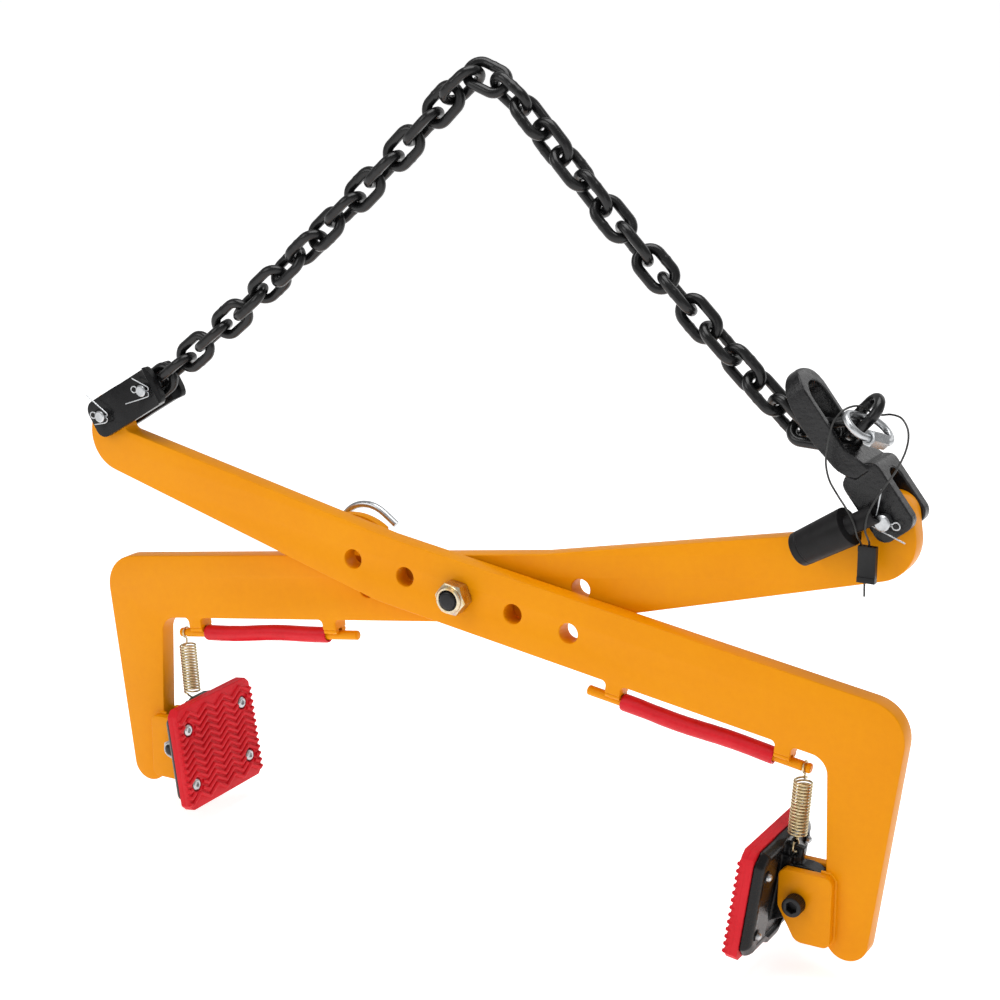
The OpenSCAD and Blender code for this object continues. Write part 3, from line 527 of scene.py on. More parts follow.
# Points moved by a rule that works in the piece's own frame
def reshaped(shape, home, rule):
    inward = home.inverted()
    return [home @ Vector(rule(*(inward @ Vector(p)))) for p in shape[0]], shape[1]


def ramp(x, a, b):
    return min(1, max(0, (x - a) / (b - a)))


def smoothStep(x, a, b):
    t = ramp(x, a, b)
    return t * t * (3 - 2 * t)


# A node's mesh in row millimetres, with an extra solid joined if given, after its modifiers
def nodeShape(name, change, extra=None):
    mesh = cadNodes[name].data.copy()
    mesh.transform(cadNodes[name].matrix_world)
    mesh.transform(Matrix.Scale(1000, 4))
    if extra:
        whole = joined([shapeOf(mesh), extra])
        mesh = bpy.data.meshes.new("whole")
        mesh.from_pydata(whole[0], [], whole[1])
    holder = linked("copy", mesh)
    holder.modifiers.new("weld", "WELD").merge_threshold = 0.004   # joins the frame's doubled points
    change(holder.modifiers)
    return shapeFrom(holder)


def easedNode(name, width):
    def change(modifiers):
        flat = modifiers.new("flat", "DECIMATE")
        flat.decimate_type = "DISSOLVE"
        flat.angle_limit = radians(1.5)
        bevel = modifiers.new("ease", "BEVEL")
        bevel.width = width
        bevel.segments = 3
        bevel.limit_method = "ANGLE"
        bevel.angle_limit = radians(32)
    return nodeShape(name, change)


def castNode(name, voxel, rounds, extra=None):
    def change(modifiers):
        fill = modifiers.new("fill", "REMESH")
        fill.mode = "VOXEL"
        fill.voxel_size = voxel
        soft = modifiers.new("soft", "SMOOTH")
        soft.factor = 0.5
        soft.iterations = rounds
    return nodeShape(name, change, extra)


# Arms: flame-cut plates with eased edges, and the cheeks welded to them
half, tabHalf, tabDrop = armSet["half"], armSet["tabHalf"], armSet["tabDrop"]
armCorners = [
    (-375.5, 71.5, 17.3), (-340.5, 71.5, 17.3), (-340.5, 44.54, 7), (-70, half, 40), (375.2, half, 30),
    (380.66, -179.72, 16.3), (349.9, -179.72, 16.3), (armSet["inner"], -half, 15)]
for u in armSet["tabs"]:
    armCorners += [(u + tabHalf, -half, 4), (u + tabHalf, -tabDrop, 1), (u - tabHalf, -tabDrop, 1),
                   (u - tabHalf, -half, 4)]
armCorners += [(-74, -half, 60), (-375.5, 10.1, 32)]
eyeSize = {"front": 10.18, "rear": 12.18}
cheekSet = {"thick": 8, "y": 12, "bore": 10.1, "ease": 0.7}
cheekCorners = [(-15, 25, 6), (27.5, 25, 6), (27.5, -32, 6), (0, -32, 9), (-15, -5, 8)]


def beadPath(corners, y):
    pts = []
    for (x0, z0), (x1, z1) in zip(corners, corners[1:]):
        count = max(2, int(sqrt((x1 - x0) ** 2 + (z1 - z0) ** 2) / 2.2))
        pts += [(x0 + (x1 - x0) * k / count, y + 0.25 * sin(k * 2.1), z0 + (z1 - z0) * k / count)
                for k in range(count)]
    return pts + [(corners[-1][0], y, corners[-1][1])]


for side in sides:
    holes = [circleLoop(armSet["pitch"] * k, 0, armSet["holes"] / 2) for k in (-2, -1, 0, 1, 2)]
    holes.append(circleLoop(*armSet["eye"], eyeSize[side] / 2))
    plate = plateShape([rounded(armCorners)] + holes, armSet["thick"], armSet["ease"])
    inPlace = moved(plate, armFrame[side] @ shift(0, -armSet["y"], 0) @ faceUp)
    sidePiece(side, "ArmPlate", inPlace, "orangePaint", "_arm", "_arm")
    cheekLoops = [rounded(cheekCorners), circleLoop(0, 0, cheekSet["bore"] / 2)]
    cheek = plateShape(cheekLoops, cheekSet["thick"], cheekSet["ease"])
    welds = []
    for face in (-1, 1):
        edge = beadPath([(16, 25.4), (24, 25.2), (27.6, 21), (27.7, -27), (24, -32.2), (19, -32.3)],
                        face * armSet["thick"] / 2)
        welds.append(moved(wireShape(edge, armSet["weld"], wave=0.5, waveSize=0.35, finish="orangePaint"),
                           swivelFrame[side]))
    plates = [moved(cheek, swivelFrame[side] @ shift(0, face * cheekSet["y"], 0) @ faceUp) for face in (-1, 1)]
    sidePiece(side, "CheekPlates", joined(plates + welds), "orangePaint", "_arm", "_cheeks")
print("arms and cheeks made")

# Handles: a painted rod through two tabs and a length of red hose
handleSet = {"v": -43, "from": 121, "to": 309, "hose": 13.6, "bore": 4.9, "sway": 1.1, "swell": 0.2, "gap": 7.1,
             "rings": 90, "bead": 2.1, "beadHalf": 6, "seed": {"front": 0.4, "rear": 3.1}}
hoseFrom, hoseTo = armSet["tabs"][1] + handleSet["gap"], armSet["tabs"][0] - handleSet["gap"]
hoseR, boreR, hoseRun = handleSet["hose"] / 2, handleSet["bore"], hoseTo - hoseFrom
for side in sides:
    rodFrame = armFrame[side] @ shift(0, -armSet["y"], handleSet["v"])
    low, high = handleSet["from"], handleSet["to"]   # the groove near the end holds the spring's loop
    rod = [(low, 0), (low, 3), (low + 0.3, 3.5), (low + 1, 4)] + [
        (high - gap, r) for gap, r in ((7.4, 4), (6.8, 3.6), (6.4, 3.2), (4, 3.2), (3.6, 3.6), (3.1, 4), (1.2, 4),
                                       (0.4, 3.6), (0, 3), (0, 0))]
    beads = []
    for u in armSet["tabs"][::-1]:
        for face in (-1, 1):
            run = [(u - handleSet["beadHalf"] + k, face * (4.6 + 0.1 * (k % 2)), 4.6)
                   for k in range(2 * handleSet["beadHalf"] + 1)]
            beads.append(wireShape(run, handleSet["bead"], wave=0.5, waveSize=0.35, finish="orangePaint"))
    parts = joined([turnedShape(rod, 32)] + beads)
    sidePiece(side, "HandleRod", moved(parts, rodFrame), "orangePaint", "_arm", "_rod")
    seed = handleSet["seed"][side]
    outer = [(hoseFrom + 0.1, hoseR - 1), (hoseFrom, hoseR - 0.4)]
    for k in range(1, handleSet["rings"]):
        x = hoseFrom + hoseRun * k / handleSet["rings"]
        outer.append((x, hoseR + handleSet["swell"] * noise.noise(Vector((x * 0.09, seed, 0)))))
    outer += [(hoseTo, hoseR - 0.4), (hoseTo - 0.1, hoseR - 1)]
    bore = [(hoseTo - 0.2, boreR + 0.3), (hoseTo - 1.2, boreR), (hoseFrom + 1.2, boreR),
            (hoseFrom + 0.2, boreR + 0.3)]
    points, faces = turnedShape(outer + bore + [outer[0]], 40)
    hose = ([(x, y, z + handleSet["sway"] * sin(pi * (x - hoseFrom) / hoseRun) * cos(seed + x * 0.047))
             for x, y, z in points], faces)   # the soft sleeve lies a little wavy on its rod
    sidePiece(side, "GripHose", moved(hose, rodFrame), "redHose", "_arm", "_grip")
print("handles made")

# Chain: one wire sweep with its weld bump, set down link by link
linkSet = {"wire": 8, "inside": 25.6, "gap": 11.5, "bump": 0.3, "bumpSize": 1.4, "skin": 0.02, "reach": 16.8}


def linkPoints(count=52, section=16):
    r = (linkSet["gap"] + linkSet["wire"]) / 2
    half = (linkSet["inside"] + linkSet["wire"] - 2 * r) / 2
    straight, arc = 2 * half, pi * r
    total = 2 * (straight + arc)
    points, faces = [], []
    for k in range(count):
        way = 1 if 2 * k < count else -1   # the far half is the near one turned round, without the weld
        s = total * k / count - (0 if way > 0 else total / 2)
        if s < straight:
            centre, out = (s - half, r), (0, 1)
        else:
            a = pi / 2 - (s - straight) / r
            centre, out = (half + r * cos(a), r * sin(a)), (cos(a), sin(a))
        bump = linkSet["bump"] * exp(-((s - half) / linkSet["bumpSize"]) ** 2) if way > 0 else 0
        w = linkSet["wire"] / 2 - linkSet["skin"] + bump
        for j in range(section):
            b = 2 * pi * j / section
            x, z = centre[0] + w * cos(b) * out[0], centre[1] + w * cos(b) * out[1]
            points.append((way * x, w * sin(b), way * z))
    for k in range(count):
        for j in range(section):
            faces.append((k * section + j, (k + 1) % count * section + j,
                          (k + 1) % count * section + (j + 1) % section, k * section + (j + 1) % section))
    return points, faces


def linkFrame(point, y, slope, twist):
    return hang @ shift(point[0], y, point[1]) @ spin("Y", -slope) @ spin("X", twist)


# Place and slope of a run that droops from a to b, at t from 0 to 1
def arcRun(a, b, sag):
    length = sqrt((b[0] - a[0]) ** 2 + (b[1] - a[1]) ** 2)
    way = degrees(atan2(b[1] - a[1], b[0] - a[0]))
    radius = length / (2 * sin(radians(sag / 2)))

    def at(t):
        d0, d1 = radians(way - sag / 2), radians(way + sag * (t - 0.5))
        return (a[0] + radius * (sin(d1) - sin(d0)), a[1] - radius * (cos(d1) - cos(d0))), way + sag * (t - 0.5)
    return at


liftSpot = (poseSet["aside"], poseSet["drop"])
link = linkPoints()
slotMid = step(step(eyeRight, poseSet["hookSlope"], 69.8), 38.1, 0.4)
bendMid = (slotMid[0] - 20.3, slotMid[1] - 1.8)
tailSet = {"y": 7.7, "slope": 48.7, "twist": -56.9}
tailMid = step(step(slotMid, 12.6, 6.8), tailSet["slope"], linkSet["reach"])
tailFrame = linkFrame(tailMid, tailSet["y"], tailSet["slope"], tailSet["twist"])
leftRun = arcRun(step(strapEnd, 37.6, linkSet["inside"] / 2 - 5 - 0.6), (liftSpot[0] - 36.6, liftSpot[1] - 21.4), 7.3)
rightRun = arcRun((liftSpot[0] + 38, liftSpot[1] - 27.6), (bendMid[0] - 20.8, bendMid[1] + 7.8), 5.6)
leftFrames = []
for i in range(1, 17):
    t = (i - 1) / 15
    spot, slope = leftRun(t)
    leftFrames.append(linkFrame(spot, -armSet["y"] * (1 - t) - 2.8 * t, slope, 90 * (i - 1) + 90 * ramp(i, 3, 12)))
leftFrames.append(linkFrame((liftSpot[0] - 19.9, liftSpot[1] - 6.3), -3.2, 41.9, 69))
rightFrames = [linkFrame((liftSpot[0] + 20.6, liftSpot[1] - 11.4), -0.9, -37.1, 34.7)]
for i in range(1, 14):
    t = (i - 1) / 12
    spot, slope = rightRun(t)
    rightFrames.append(linkFrame(spot, -0.2 * (1 - t) + 12.4 * t, slope,
                                 111 + 90 * (i - 1) - 6.6 * ramp(i, 1, 2) + 10.2 * max(0, i - 2.2)))
chainPieces = [
    ("liftingLink", [linkFrame(liftSpot, 0, -21.1, -33.3)], "lifting_link", "lifting_link"),
    ("leftChainLinks", leftFrames, "left_chain", "left_chain"),
    ("rightChainLinks", rightFrames, "right_chain", "right_chain"),
    ("bendLink", [linkFrame(bendMid, 10, -1.8, -43.6)], "hook", "bend_link"),
    ("slotLink", [linkFrame(slotMid, 10, 12.6, 32.4)], "hook", "slot_link"),
    ("tailLink", [tailFrame], "tail", "tail_link")]
for name, frames, body, node in chainPieces:
    makePiece(name, spottedShape(link, frames, "blackChain"), "blackChain", body, node, 60)
print("chain made:", sum(len(c[1]) for c in chainPieces), "links")

# Stop ring round the tail link, with its screw sleeve
ringSet = {"d": 5.5, "long": 50, "wide": 28, "turn": 30, "clear": 0.3, "sleeve": 10.7, "sleeveLength": 17}
ringR = (ringSet["wide"] - ringSet["d"]) / 2
ringHalf = (ringSet["long"] - ringSet["wide"]) / 2
ringLift = (linkSet["wire"] + ringSet["d"]) / 2 + ringSet["clear"] - ringR
ringFrame = (tailFrame @ shift(1, 0, -9.75) @ spin("X", ringSet["turn"]) @ shift(0, 0, ringLift)
             @ spin("Z", 90) @ spin("X", 90))
ringPath = [(way * (ringHalf + ringR * cos(radians(a))), way * ringR * sin(radians(a)), 0)
            for way in (1, -1) for a in range(-90, 91, 9)]
threads = moved(turnedShape(lambda a: [(8.4, 0)] + threadRow(a, 8.4, 11.2, 5.6, 0.8, 0.35) + [(11.2, 0)], 32),
                shift(0, -ringR, 0))
ringParts = joined([wireShape(ringPath, ringSet["d"] / 2, closed=True, count=20), threads])
makePiece("stopRingBow", moved(ringParts, ringFrame), "zincSilver", "tail", "stop_ring", 50)
sleeve = hexShape(ringSet["sleeve"], ringSet["sleeveLength"], ringSet["d"] + 0.2)
sleeve = moved(sleeve, shift(-ringSet["sleeveLength"] / 2, -ringR, 0))
makePiece("stopRingSleeve", moved(sleeve, ringFrame), "zincSilver", "tail", "stop_ring_sleeve")

# Straps and hook, eased from the frame's own solids and drawn in a little at their ends
strapSet = {"noseFrom": 58, "share": 0.5, "flareFrom": 58.9, "flareTo": 68.2, "closer": 3.5, "ease": 0.9}


def shortNose(x, y, z):
    closer = strapSet["closer"] * ramp(x, strapSet["flareFrom"], strapSet["flareTo"])
    past = max(0, x - strapSet["noseFrom"])
    return x - past * (1 - strapSet["share"]), y - closer * (1 if y > 0 else -1), z


for side in sides:
    strap = reshaped(easedNode("strap_" + side, strapSet["ease"]), strapFrame, shortNose)
    makePiece(side + "Strap", strap, "blackPaint", "left_chain", "strap_" + side)
eyeSet = {"from": 36, "to": 62, "low": -3.5, "high": 14.5, "oldLow": -12, "oldHigh": 21.6, "narrow": 0.93}
eyeShare = (eyeSet["high"] - eyeSet["low"]) / (eyeSet["oldHigh"] - eyeSet["oldLow"])


def slimEye(x, y, z):
    share = smoothStep(x, eyeSet["from"], eyeSet["to"])
    slim = eyeSet["low"] + (z - eyeSet["oldLow"]) * eyeShare
    return x, y * (1 + share * (eyeSet["narrow"] - 1)), z + share * (slim - z)


makePiece("shorteningHook", reshaped(castNode("clevis_hook", 0.75, 9), hookFrame, slimEye), "blackForging",
          "hook", "clevis_hook", 70)


# Pins with their cotters
def pinShape(d, y0, y1, head):
    r, wide = d / 2, head / 2
    row = [(y0, 0), (y0, r - 1.1), (y0 + 0.5, r - 0.5), (y0 + 1.1, r), (y1, r), (y1, wide - 0.6), (y1 + 0.5, wide),
           (y1 + 3, wide), (y1 + 3.7, wide - 0.5), (y1 + 4, wide - 1.3), (y1 + 4, 0)]
    return moved(turnedShape(row, 48), alongY)


# A thin split pin through the pin's tip: a round eye at one side, two legs splayed at the other
def cotterShape(d, upperEnd, lowerEnd):
    r = d / 2
    bow = [(-r - 3.9 + 2.9 * cos(radians(a)), 0, 2.7 * sin(radians(a))) for a in range(20, 341, 20)]
    upper = smoothPath([(upperEnd[0], -1.2, upperEnd[1]), (r + 0.6, -1, 4.2), (r + 1.9, -0.6, 2.6),
                        (r + 1.5, -0.3, 1.3), (r + 0.2, 0, 0.6)])
    lower = smoothPath([(r + 0.2, 0, -0.6), (r + 1.5, -0.3, -1.3), (r + 1.9, -0.6, -2.6), (r - 0.4, -0.9, -5),
                        (lowerEnd[0], -1.2, lowerEnd[1])])
    path = upper + [(-r - 1, 0, 0.6)] + bow + [(-r - 1, 0, -0.6)] + lower
    return wireShape(path, 0.58, count=10)


pinSet = {"strap": 10, "clevis": 12, "cotterTurn": 31}
strapPins = [("Lower", pinShape(pinSet["strap"], -21.5, 14.5, 16), 0),
             ("Upper", pinShape(pinSet["strap"], -19.5, 12.5, 12.6), pinGap)]
for name, pin, place in strapPins:
    makePiece("strapPin" + name, moved(pin, strapFrame @ shift(place, 0, 0)), "zincSilver", "left_chain",
              "strap_pin_" + name.lower())
cotters = joined([moved(cotterShape(pinSet["strap"], legUp, legDown),
                        strapFrame @ shift(place, depth, 0) @ spin("Y", pinSet["cotterTurn"]))
                  for legUp, legDown, place, depth in (((-14, 17), (-6.5, -7.6), 0, -17.9),
                                                       ((-9.3, 9.6), (-17.5, -13), pinGap, -15.9))])
makePiece("strapCotters", cotters, "zincSilver", "left_chain", "strap_cotters", 60)
clevisPin = moved(pinShape(pinSet["clevis"], -27, 19, 18), hookFrame)
makePiece("clevisPin", clevisPin, "zincSilver", "hook", "clevis_pin")
clevisSpot = pinFrame @ shift(0, armSet["y"] - 23.4, 0) @ spin("Y", 188)
clevisCotter = moved(cotterShape(pinSet["clevis"], (-19, 10), (5, -24)), clevisSpot)
makePiece("clevisCotter", clevisCotter, "zincSilver", "hook", "clevis_cotter", 60)
print("straps, hook and pins made")

# Pads: casting, rubber with its zigzag tread, screws, nuts, swivel bolt and spring
padSet = {"w": 105, "h": 91, "cut": 5, "corner": 2, "reach": 38, "rubber": 10, "tread": 2, "pitch": 6.1,
          "columns": 8, "rise": 3.6, "screwY": 39, "screwZ": 24.7, "screw": 6, "recess": 12.5, "ribClear": 7.6,
          "bore": 3.3, "border": 6, "over": 0.4, "samples": 220}
backX = padSet["tread"] + padSet["rubber"] - padSet["reach"]
cell = (padSet["w"] - padSet["border"]) / padSet["columns"]
screwSpots = [(a * padSet["screwY"], b * padSet["screwZ"]) for a in (-1, 1) for b in (-1, 1)]


def zigzag(y):
    return padSet["rise"] * (1 - 2 * abs((y / cell + padSet["columns"] / 2) % 2 - 1))


def onPad(y, z):
    w, h = padSet["w"] / 2 + padSet["over"], padSet["h"] / 2 + padSet["over"]
    return abs(y) <= w and abs(z) <= h and abs(y) + abs(z) <= w + h - padSet["cut"]


def ribPaths():
    paths = []
    rows = int((padSet["h"] - padSet["border"]) / padSet["pitch"])
    for j in range(rows):
        base = (j - (rows - 1) / 2) * padSet["pitch"]
        run = []
        for k in range(padSet["samples"] + 1):
            y = (k / padSet["samples"] - 0.5) * (padSet["w"] + 1)
            z = base + zigzag(y)
            free = all((y - a) ** 2 + (z - b) ** 2 >= padSet["ribClear"] ** 2 for a, b in screwSpots)
            if free and onPad(y, z):
                run.append((y, z, 0))
            elif run:
                paths.append(run)
                run = []
        if run:
            paths.append(run)
    return [p for p in paths if len(p) > 5]


# frame of a flat shape in the pad plane: its X runs across, its Y up, its Z out of the face
faceFrame = Matrix(((0, 0, -1, 0), (1, 0, 0, 0), (0, 1, 0, 0), (0, 0, 0, 1)))
w, h, c = padSet["w"] / 2, padSet["h"] / 2, padSet["cut"]
padCorners = [(c - w, -h), (w - c, -h), (w, c - h), (w, h - c), (w - c, h), (c - w, h), (-w, h - c), (-w, c - h)]
padOutline = rounded([(x, y, padSet["corner"]) for x, y in padCorners])
block = plateShape([padOutline] + [circleLoop(y, z, padSet["bore"], 24) for y, z in screwSpots], 5.2, 0.5)
cover = plateShape([padOutline] + [circleLoop(y, z, padSet["recess"] / 2, 40) for y, z in screwSpots], 5.2, 0.6)
quarter = [(-1.75, 0), (-1.55, 0.9), (-1.15, 1.7), (-0.7, 1.98)]
upperHalf = quarter + [(-x, z) for x, z in quarter[::-1]]
ribSection = upperHalf + [(-x, -z) for x, z in upperHalf[1:-1]]
ribs = sweptShape(ribPaths(), ribSection, finish="redRubber")
rubber = joined([moved(layer, faceFrame @ shift(0, 0, height - backX))
                 for layer, height in ((block, 2.6), (cover, 7.4), (ribs, padSet["rubber"]))])
screwSet = {"seat": -33, "key": 4, "length": 18.9}


def screwRow(a):
    key = hexReach(a, screwSet["key"])
    head = [(-1.8, 0), (-2, key), (-3.3, key), (-3.6, key + 0.35), (-3.6, 3.6), (-3.3, 4.2), (-2.6, 5), (-0.3, 5),
            (0, 4.6), (0, 3)]
    return head + boltEnd(a, 4, screwSet["length"], padSet["screw"], 1, 0.42)


screwFrames = [shift(screwSet["seat"], y, z) @ spin("X", 25 * k) for k, (y, z) in enumerate(screwSpots)]
nutFrames = [shift(backX + 5, y, z) @ spin("X", 11 + 33 * k) for k, (y, z) in enumerate(screwSpots)]
screws = spottedShape(turnedShape(screwRow, 48), screwFrames, "zincSilver")
nuts = spottedShape(hexShape(8.4, 4, 6), nutFrames, "blackOxide")
swivelSet = {"d": 10, "head": 16, "rise": 10, "key": 8, "deep": 6, "knurl": 0.5, "length": 43.5, "nut": 16.02}


def boltRow(a):
    r, wide, top = swivelSet["d"] / 2, swivelSet["head"] / 2, -swivelSet["rise"]
    edge = wide - swivelSet["knurl"] * (0.5 + 0.5 * cos(36 * a))
    key = hexReach(a, swivelSet["key"])
    seat = top + swivelSet["deep"]
    head = [(seat + 0.4, 0), (seat, key), (top + 0.5, key), (top, key + 0.5), (top, wide - 1.2),
            (top + 0.35, wide - 0.35), (top + 0.9, edge), (-0.3, edge), (0, edge - 0.3)]
    return head + [(0, r), (30, r)] + boltEnd(a, 31, swivelSet["length"], swivelSet["d"], 1.5, 0.5)


# Two slabs fill the casting's back beside the cheeks, clear of them in the pad's swing
fillSet = {"inner": 19, "outer": 46, "half": 40, "thick": 5.6, "back": 4.7}
castSet = {"hub": 8.6, "full": 20, "deep": 8, "round": 8.6, "inset": 0.8, "half": 51.5}
fillHalf = fillSet["half"]
slabs = [[(low, -fillHalf), (high, -fillHalf), (high, fillHalf), (low, fillHalf)]
         for low, high in ((-fillSet["outer"], -fillSet["inner"]), (fillSet["inner"], fillSet["outer"]))]
backFill = joined([plateShape([slab], fillSet["thick"], 0.3) for slab in slabs])


# The casting's sides lean in towards its back
def drafted(x, y, z):
    deep = min(castSet["deep"], max(0, x - backX)) if abs(y) > castSet["hub"] else 0
    drop = castSet["round"] - sqrt(castSet["round"] ** 2 - deep ** 2)
    inset = (castSet["inset"] + drop) * smoothStep(abs(y), castSet["hub"], castSet["full"])
    return x, y - inset * y / castSet["half"], z - inset * z / castSet["half"]


swivelNutShape = hexShape(swivelSet["nut"], 8, swivelSet["d"], (14.5, 2))
padPieces = [("PadRubber", rubber, "redRubber", "_rubber", "red_rubber", 40),
             ("PadScrews", screws, "zincSilver", "_screws", "zinc", 32),
             ("PadNuts", nuts, "blackOxide", "_screw_nuts", "zinc", 32)]
for side in sides:
    filled = moved(backFill, padFrame[side] @ faceFrame @ shift(0, 0, -backX - fillSet["back"]))
    casting = reshaped(castNode(side + "_pad", 0.8, 7, filled), padFrame[side], drafted)
    sidePiece(side, "PadCasting", casting, "blackCasting", "_pad", "_pad", 70)
    for label, shape, finish, node, slot, sharp in padPieces:
        sidePiece(side, label, moved(shape, padFrame[side]), finish, "_pad", node, sharp)
    bolt = moved(turnedShape(boltRow, 96), swivelFrame[side] @ shift(0, -16, 0) @ alongY)
    sidePiece(side, "SwivelBolt", bolt, "blackOxide", "_arm", "_swivel_bolt")
    swivelNut = moved(swivelNutShape, swivelFrame[side] @ shift(0, 16, 0) @ alongY)
    sidePiece(side, "SwivelNut", swivelNut, "zincSilver", "_arm", "_swivel_nut")

springSet = {"coil": 6.7, "wire": 1.7, "turns": 17, "steps": 26, "upLoop": 4.4, "lowLoop": 5.2, "groove": 5.2}
upSpot = turned2((handleSet["to"] - springSet["groove"], handleSet["v"]), -poseSet["lean"])
hubSpot = turned2(swivelSpot, -poseSet["lean"])
lug = turned2((-12.9, 32.5), -poseSet["tilt"])
lowSpot = (hubSpot[0] + lug[0], hubSpot[1] + lug[1])
coilTop, coilLow = upSpot[1] - 11, lowSpot[1] + 14
leanX = (lowSpot[0] - upSpot[0]) / (upSpot[1] - lowSpot[1])


def midX(z):
    return upSpot[0] + (upSpot[1] - z) * leanX


def loopAt(spot, r, angles):
    return [(spot[0], r * cos(radians(a)), spot[1] + r * sin(radians(a))) for a in angles]


coil = []
coilSteps = springSet["turns"] * springSet["steps"]
for i in range(coilSteps + 1):
    a = radians(360 * i / springSet["steps"] + 90)
    z = coilTop - (coilTop - coilLow) * i / coilSteps
    coil.append((midX(z) + springSet["coil"] * cos(a), springSet["coil"] * sin(a), z))
upper = loopAt((upSpot[0] + 0.2, upSpot[1]), springSet["upLoop"], range(250, -90, -15))
rise = smoothPath([upper[-1], (upSpot[0], 0, upSpot[1] - 6), (midX(coilTop), 1.5, coilTop + 1.6),
                   (midX(coilTop), 4.5, coilTop + 0.4), coil[0]])[1:-1]
lowLoop = loopAt((lowSpot[0], lowSpot[1] + 4.3), springSet["lowLoop"], range(70, -235, -12))
fall = smoothPath([coil[-1], (midX(coilLow), 5.6, coilLow - 1.4), lowLoop[0]])[1:-1]
spring = wireShape(upper + rise + coil + fall + lowLoop, springSet["wire"] / 2, count=10)
springFrame = {s: sideFrame[s] @ shift(0, -armSet["y"], 0) for s in sides}
for side in sides:
    makePiece(side + "ReturnSpring", moved(spring, springFrame[side]), "springWire",
              None, side + "_spring", 60)
print("pads and springs made")

# Pivot bolt, nut and washer
pivotSet = {"d": 16, "flats": 24, "head": 10, "nut": 13, "y": 18, "end": -53, "turn": 22}


def pivotRow(a):
    corner, r, end = hexReach(a, pivotSet["flats"]), pivotSet["d"] / 2, pivotSet["end"]
    cut = max(0, corner - pivotSet["flats"] * hexSet["face"]) * hexSet["slope"]
    rise = pivotSet["head"]
    head = [(rise, 0), (rise, 11.2), (rise - 0.4, 11.6), (rise - 1 - cut, corner), (cut * 0.3, corner), (0, 11.6),
            (0, r), (-36, r)]
    tail = threadRow(a, -37, end + 1.6, pivotSet["d"], -2, 0.8)
    return head + tail + [(end + 1.6, 7.2), (end + 0.4, 6.9), (end, 6.2), (end - 0.2, 5), (end - 0.3, 0)]


pivotBolt = moved(turnedShape(pivotRow, 96), hang @ shift(0, pivotSet["y"], 0) @ alongY)
makePiece("pivotBolt", pivotBolt, "blackOxide", "front_arm", "pivot_bolt")
nutFrame = hang @ shift(0, -pivotSet["y"], 0) @ spin("Z", -90)
nutShape = hexShape(pivotSet["flats"], pivotSet["nut"], pivotSet["d"] + 0.1, (22, 3))
pivotNut = moved(nutShape, nutFrame @ spin("X", pivotSet["turn"]))
insertRow = [(13.2, 8.4), (13.2, 10), (15.2, 10), (15.6, 9.4), (15.6, 8.7), (15.2, 8.2), (13.2, 8.4)]
insert = moved(turnedShape(insertRow, 64), nutFrame)
makePiece("pivotLockNut", pivotNut, "yellowZinc", "front_arm", "pivot_nut",
          more=[(insert, "blackPlastic")])
washer = turnedShape([(-2, 8.4), (-2, 17.6), (-1.6, 18), (1.6, 18), (2, 17.6), (2, 8.4), (-2, 8.4)], 72)
makePiece("pivotWasher", moved(washer, hang @ alongY), "zincSilver", "front_arm", "pivot_washer")

# Rubber boot, seal tag and seal wire
bootRow = [(43, 10.6), (0.8, 10.9), (0.2, 11.3), (0, 11.9), (0.2, 12.5), (0.7, 12.9), (5.4, 13.15), (5.8, 12.85),
           (6.5, 12.85), (6.9, 13.2), (44.6, 14.5), (45.3, 14.3), (45.5, 13.7), (45.6, 8.6), (45.9, 7.6), (46.6, 7.2),
           (67.2, 7), (67.8, 6.7), (68, 6), (67.9, 4.6), (67, 4.2), (43, 4.2), (43, 10.6)]
bootSet = {"from": (-62, -13.2, -28.9), "slope": 32, "turn": -4}   # from the hook's pin
bootFrame = pinFrame @ shift(*bootSet["from"]) @ spin("Y", -bootSet["slope"]) @ spin("Z", bootSet["turn"])
makePiece("rubberBoot", moved(turnedShape(bootRow, 72), bootFrame), "blackRubber", "hook", "rubber_boot")
sealSet = {"d": 1.5, "tag": (-11.7, -15.5, -31.5), "aside": 2.4, "narrow": 0.82}
tx, ty, tz = sealSet["tag"]   # from the hook's pin
slimTag = reshaped(easedNode("seal_tag", 0.45), pinFrame @ shift(tx, 0, tz),
                   lambda x, y, z: (sealSet["aside"] + sealSet["narrow"] * x, y, z))
makePiece("sealTag", slimTag, "blackPlastic", "hook", "seal_tag")

# Seal wire: a thin coated strand, both ends crimped in the tag
sealRoute = [
    (tx + 3, ty, tz + 6), (tx + 3.2, ty, tz + 15), (-7.2, -22.5, -10.5), (-8.7, -25, -3.5), (-7.1, -24, 8.5),
    (-0.7, -18.5, 23.5), (8.3, -14, 39.5), (13.6, -11, 54.5), (12.3, -5, 65.5), (4.3, 4, 72), (-5.7, 10.6, 72.5),
    (-12.7, 12.4, 71.1), (-18, 10.4, 71), (-21.1, 7.7, 73.8), (-24.2, 5, 76.6), (-29.1, -1.5, 78.5),
    (-34.7, -9, 76), (-39.1, -15, 68.5), (-41.1, -17, 58.5), (-42.1, -17.4, 48.5), (-42.7, -17.4, 38.5),
    (-39.7, -17, 26.5), (-32.7, -17.6, 16.5), (-24.2, -23, 9.5), (-17.2, -25.6, 0.5), (-14.7, -24, -9.5),
    (tx - 3.2, ty, tz + 15), (tx - 3, ty, tz + 6)]
sealTail = [(tx + 1, ty, tz - 3.5), (tx + 1, ty, tz - 16), (tx + 1.4, ty - 0.4, tz - 24)]
sealWire, sealWireEnd = [
    makePiece(name, moved(wireShape(smoothPath(route, 5), sealSet["d"] / 2, count=10), pinFrame), "coatedWire",
              "hook", node, 60)
    for name, route, node in (("sealWire", sealRoute, "seal_wire"), ("sealWireEnd", sealTail, None))]

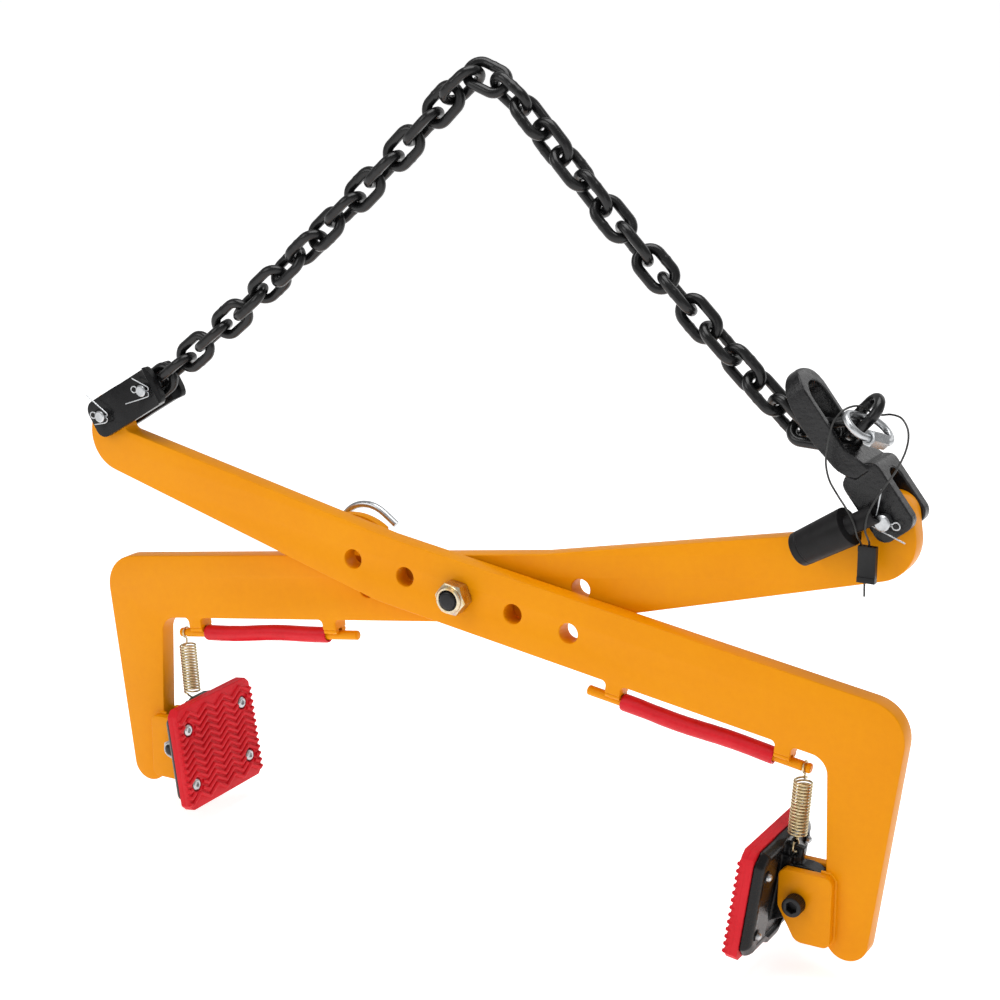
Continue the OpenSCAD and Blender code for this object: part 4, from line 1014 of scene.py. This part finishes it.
# Stay plate and the hooked rod that swings over the lever
staySet = {"spot": (-142, 13.4), "behind": 30, "rod": 6, "bow": 27, "lift": 7}
makePiece("stayPlate", easedNode("stay_plate", 0.8), "orangePaint", "rear_arm", "stay_plate")
behind, bowR, lift = staySet["behind"], staySet["bow"], staySet["lift"]


def onBow(angle, outX=0, outZ=0):
    return (bowR + bowR * cos(radians(angle)) + outX, behind, lift + bowR * sin(radians(angle)) + outZ)


bow = [onBow(a) for a in range(176, 58, -6)]
hookPath = smoothPath([(0, behind - 12.5, 0), (0, behind - 9, 0), (0, behind - 6.5, 0), (0, behind - 4, 0.2),
                       (0, behind - 1.4, 1.6), (0, behind - 0.2, 4), (0, behind, lift)], 4)[:-1] + bow
hookPath += smoothPath([bow[-1], onBow(55, 1, -0.6), onBow(55, 12.5, -8.6)], 4)[1:]
stayFrame = hang @ shift(staySet["spot"][0], 0, staySet["spot"][1])
collar = moved(turnedShape([(14.6, 0), (14.6, 4.4), (15, 5), (17, 5), (17.4, 4.4), (17.4, 3)], 40), alongY)
stem = moved(turnedShape([(14.4, 0), (14.4, 3), (26, 3), (26, 0)], 40), alongY)
stay = joined([wireShape(hookPath, staySet["rod"] / 2, count=20), collar, stem])
makePiece("stayHook", moved(stay, stayFrame), "zincSilver", "stay_hook", "stay_hook", 50)
print("small parts made")

# Springs run between the arm's rod and the pad's lug; their placement is baked into their points
for side in sides:
    item = bpy.data.objects[side + "ReturnSpring"]
    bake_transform(item)

# Floor, soft studio light and world
floorSet = {"below": 0.02, "half": 40, "glow": 0.62}
floorMesh = bpy.data.meshes.new("studioFloor")
floorZ, wide = cadBox[0][2] - floorSet["below"], floorSet["half"]
floorMesh.from_pydata([(-wide, -wide, floorZ), (wide, -wide, floorZ), (wide, wide, floorZ), (-wide, wide, floorZ)],
                      [], [(0, 1, 2, 3)])
floor = linked("studioFloor", floorMesh)
floorFinish = bpy.data.materials.new("paleFloor")  # matt white backdrop paper
floorFinish.use_nodes = True
paper = floorFinish.node_tree.nodes["Principled BSDF"]
paper.inputs["Base Color"].default_value = lin("FBFBFB")
paper.inputs["Roughness"].default_value = 0.9
paper.inputs["Emission Color"].default_value = (1, 1, 1, 1)   # lit from behind, as a light table is
paper.inputs["Emission Strength"].default_value = floorSet["glow"]
floorMesh.materials.append(floorFinish)

lightSet = {   # place, size and power
    "keyLight": ((-1.2, -1.7, 0.9), 1.3, 12.5),
    "fillLight": ((1.5, -1.9, 0.1), 1.5, 4),
    "topLight": ((0.1, -0.1, 1.4), 1.3, 23),
    "backLight": ((0.6, 1.6, 0.6), 1.4, 5)}
aim = Vector((0, 0, -0.35))
for name, (spot, size, power) in lightSet.items():
    data = bpy.data.lights.new(name, "AREA")
    data.size, data.energy = size, power
    lamp = linked(name, data)
    lamp.location = spot
    lamp.rotation_euler = (aim - Vector(spot)).to_track_quat("-Z", "Y").to_euler()
world = bpy.data.worlds.new("studioWorld")
scene.world = world
world.use_nodes = True
worldTree = world.node_tree
backdrop = worldTree.nodes["Background"]
backdrop.inputs["Color"].default_value = (1, 1, 1, 1)
seen = addNode(worldTree, "ShaderNodeLightPath").outputs["Is Camera Ray"]
# a soft room lights the clamp, and the camera sees a white sheet
level = addNode(worldTree, "ShaderNodeMapRange", {"Value": seen, "To Min": 0.42, "To Max": 1.0})
worldTree.links.new(level.outputs[0], backdrop.inputs["Strength"])
scene.view_settings.view_transform = "Standard"

print("scene ready")
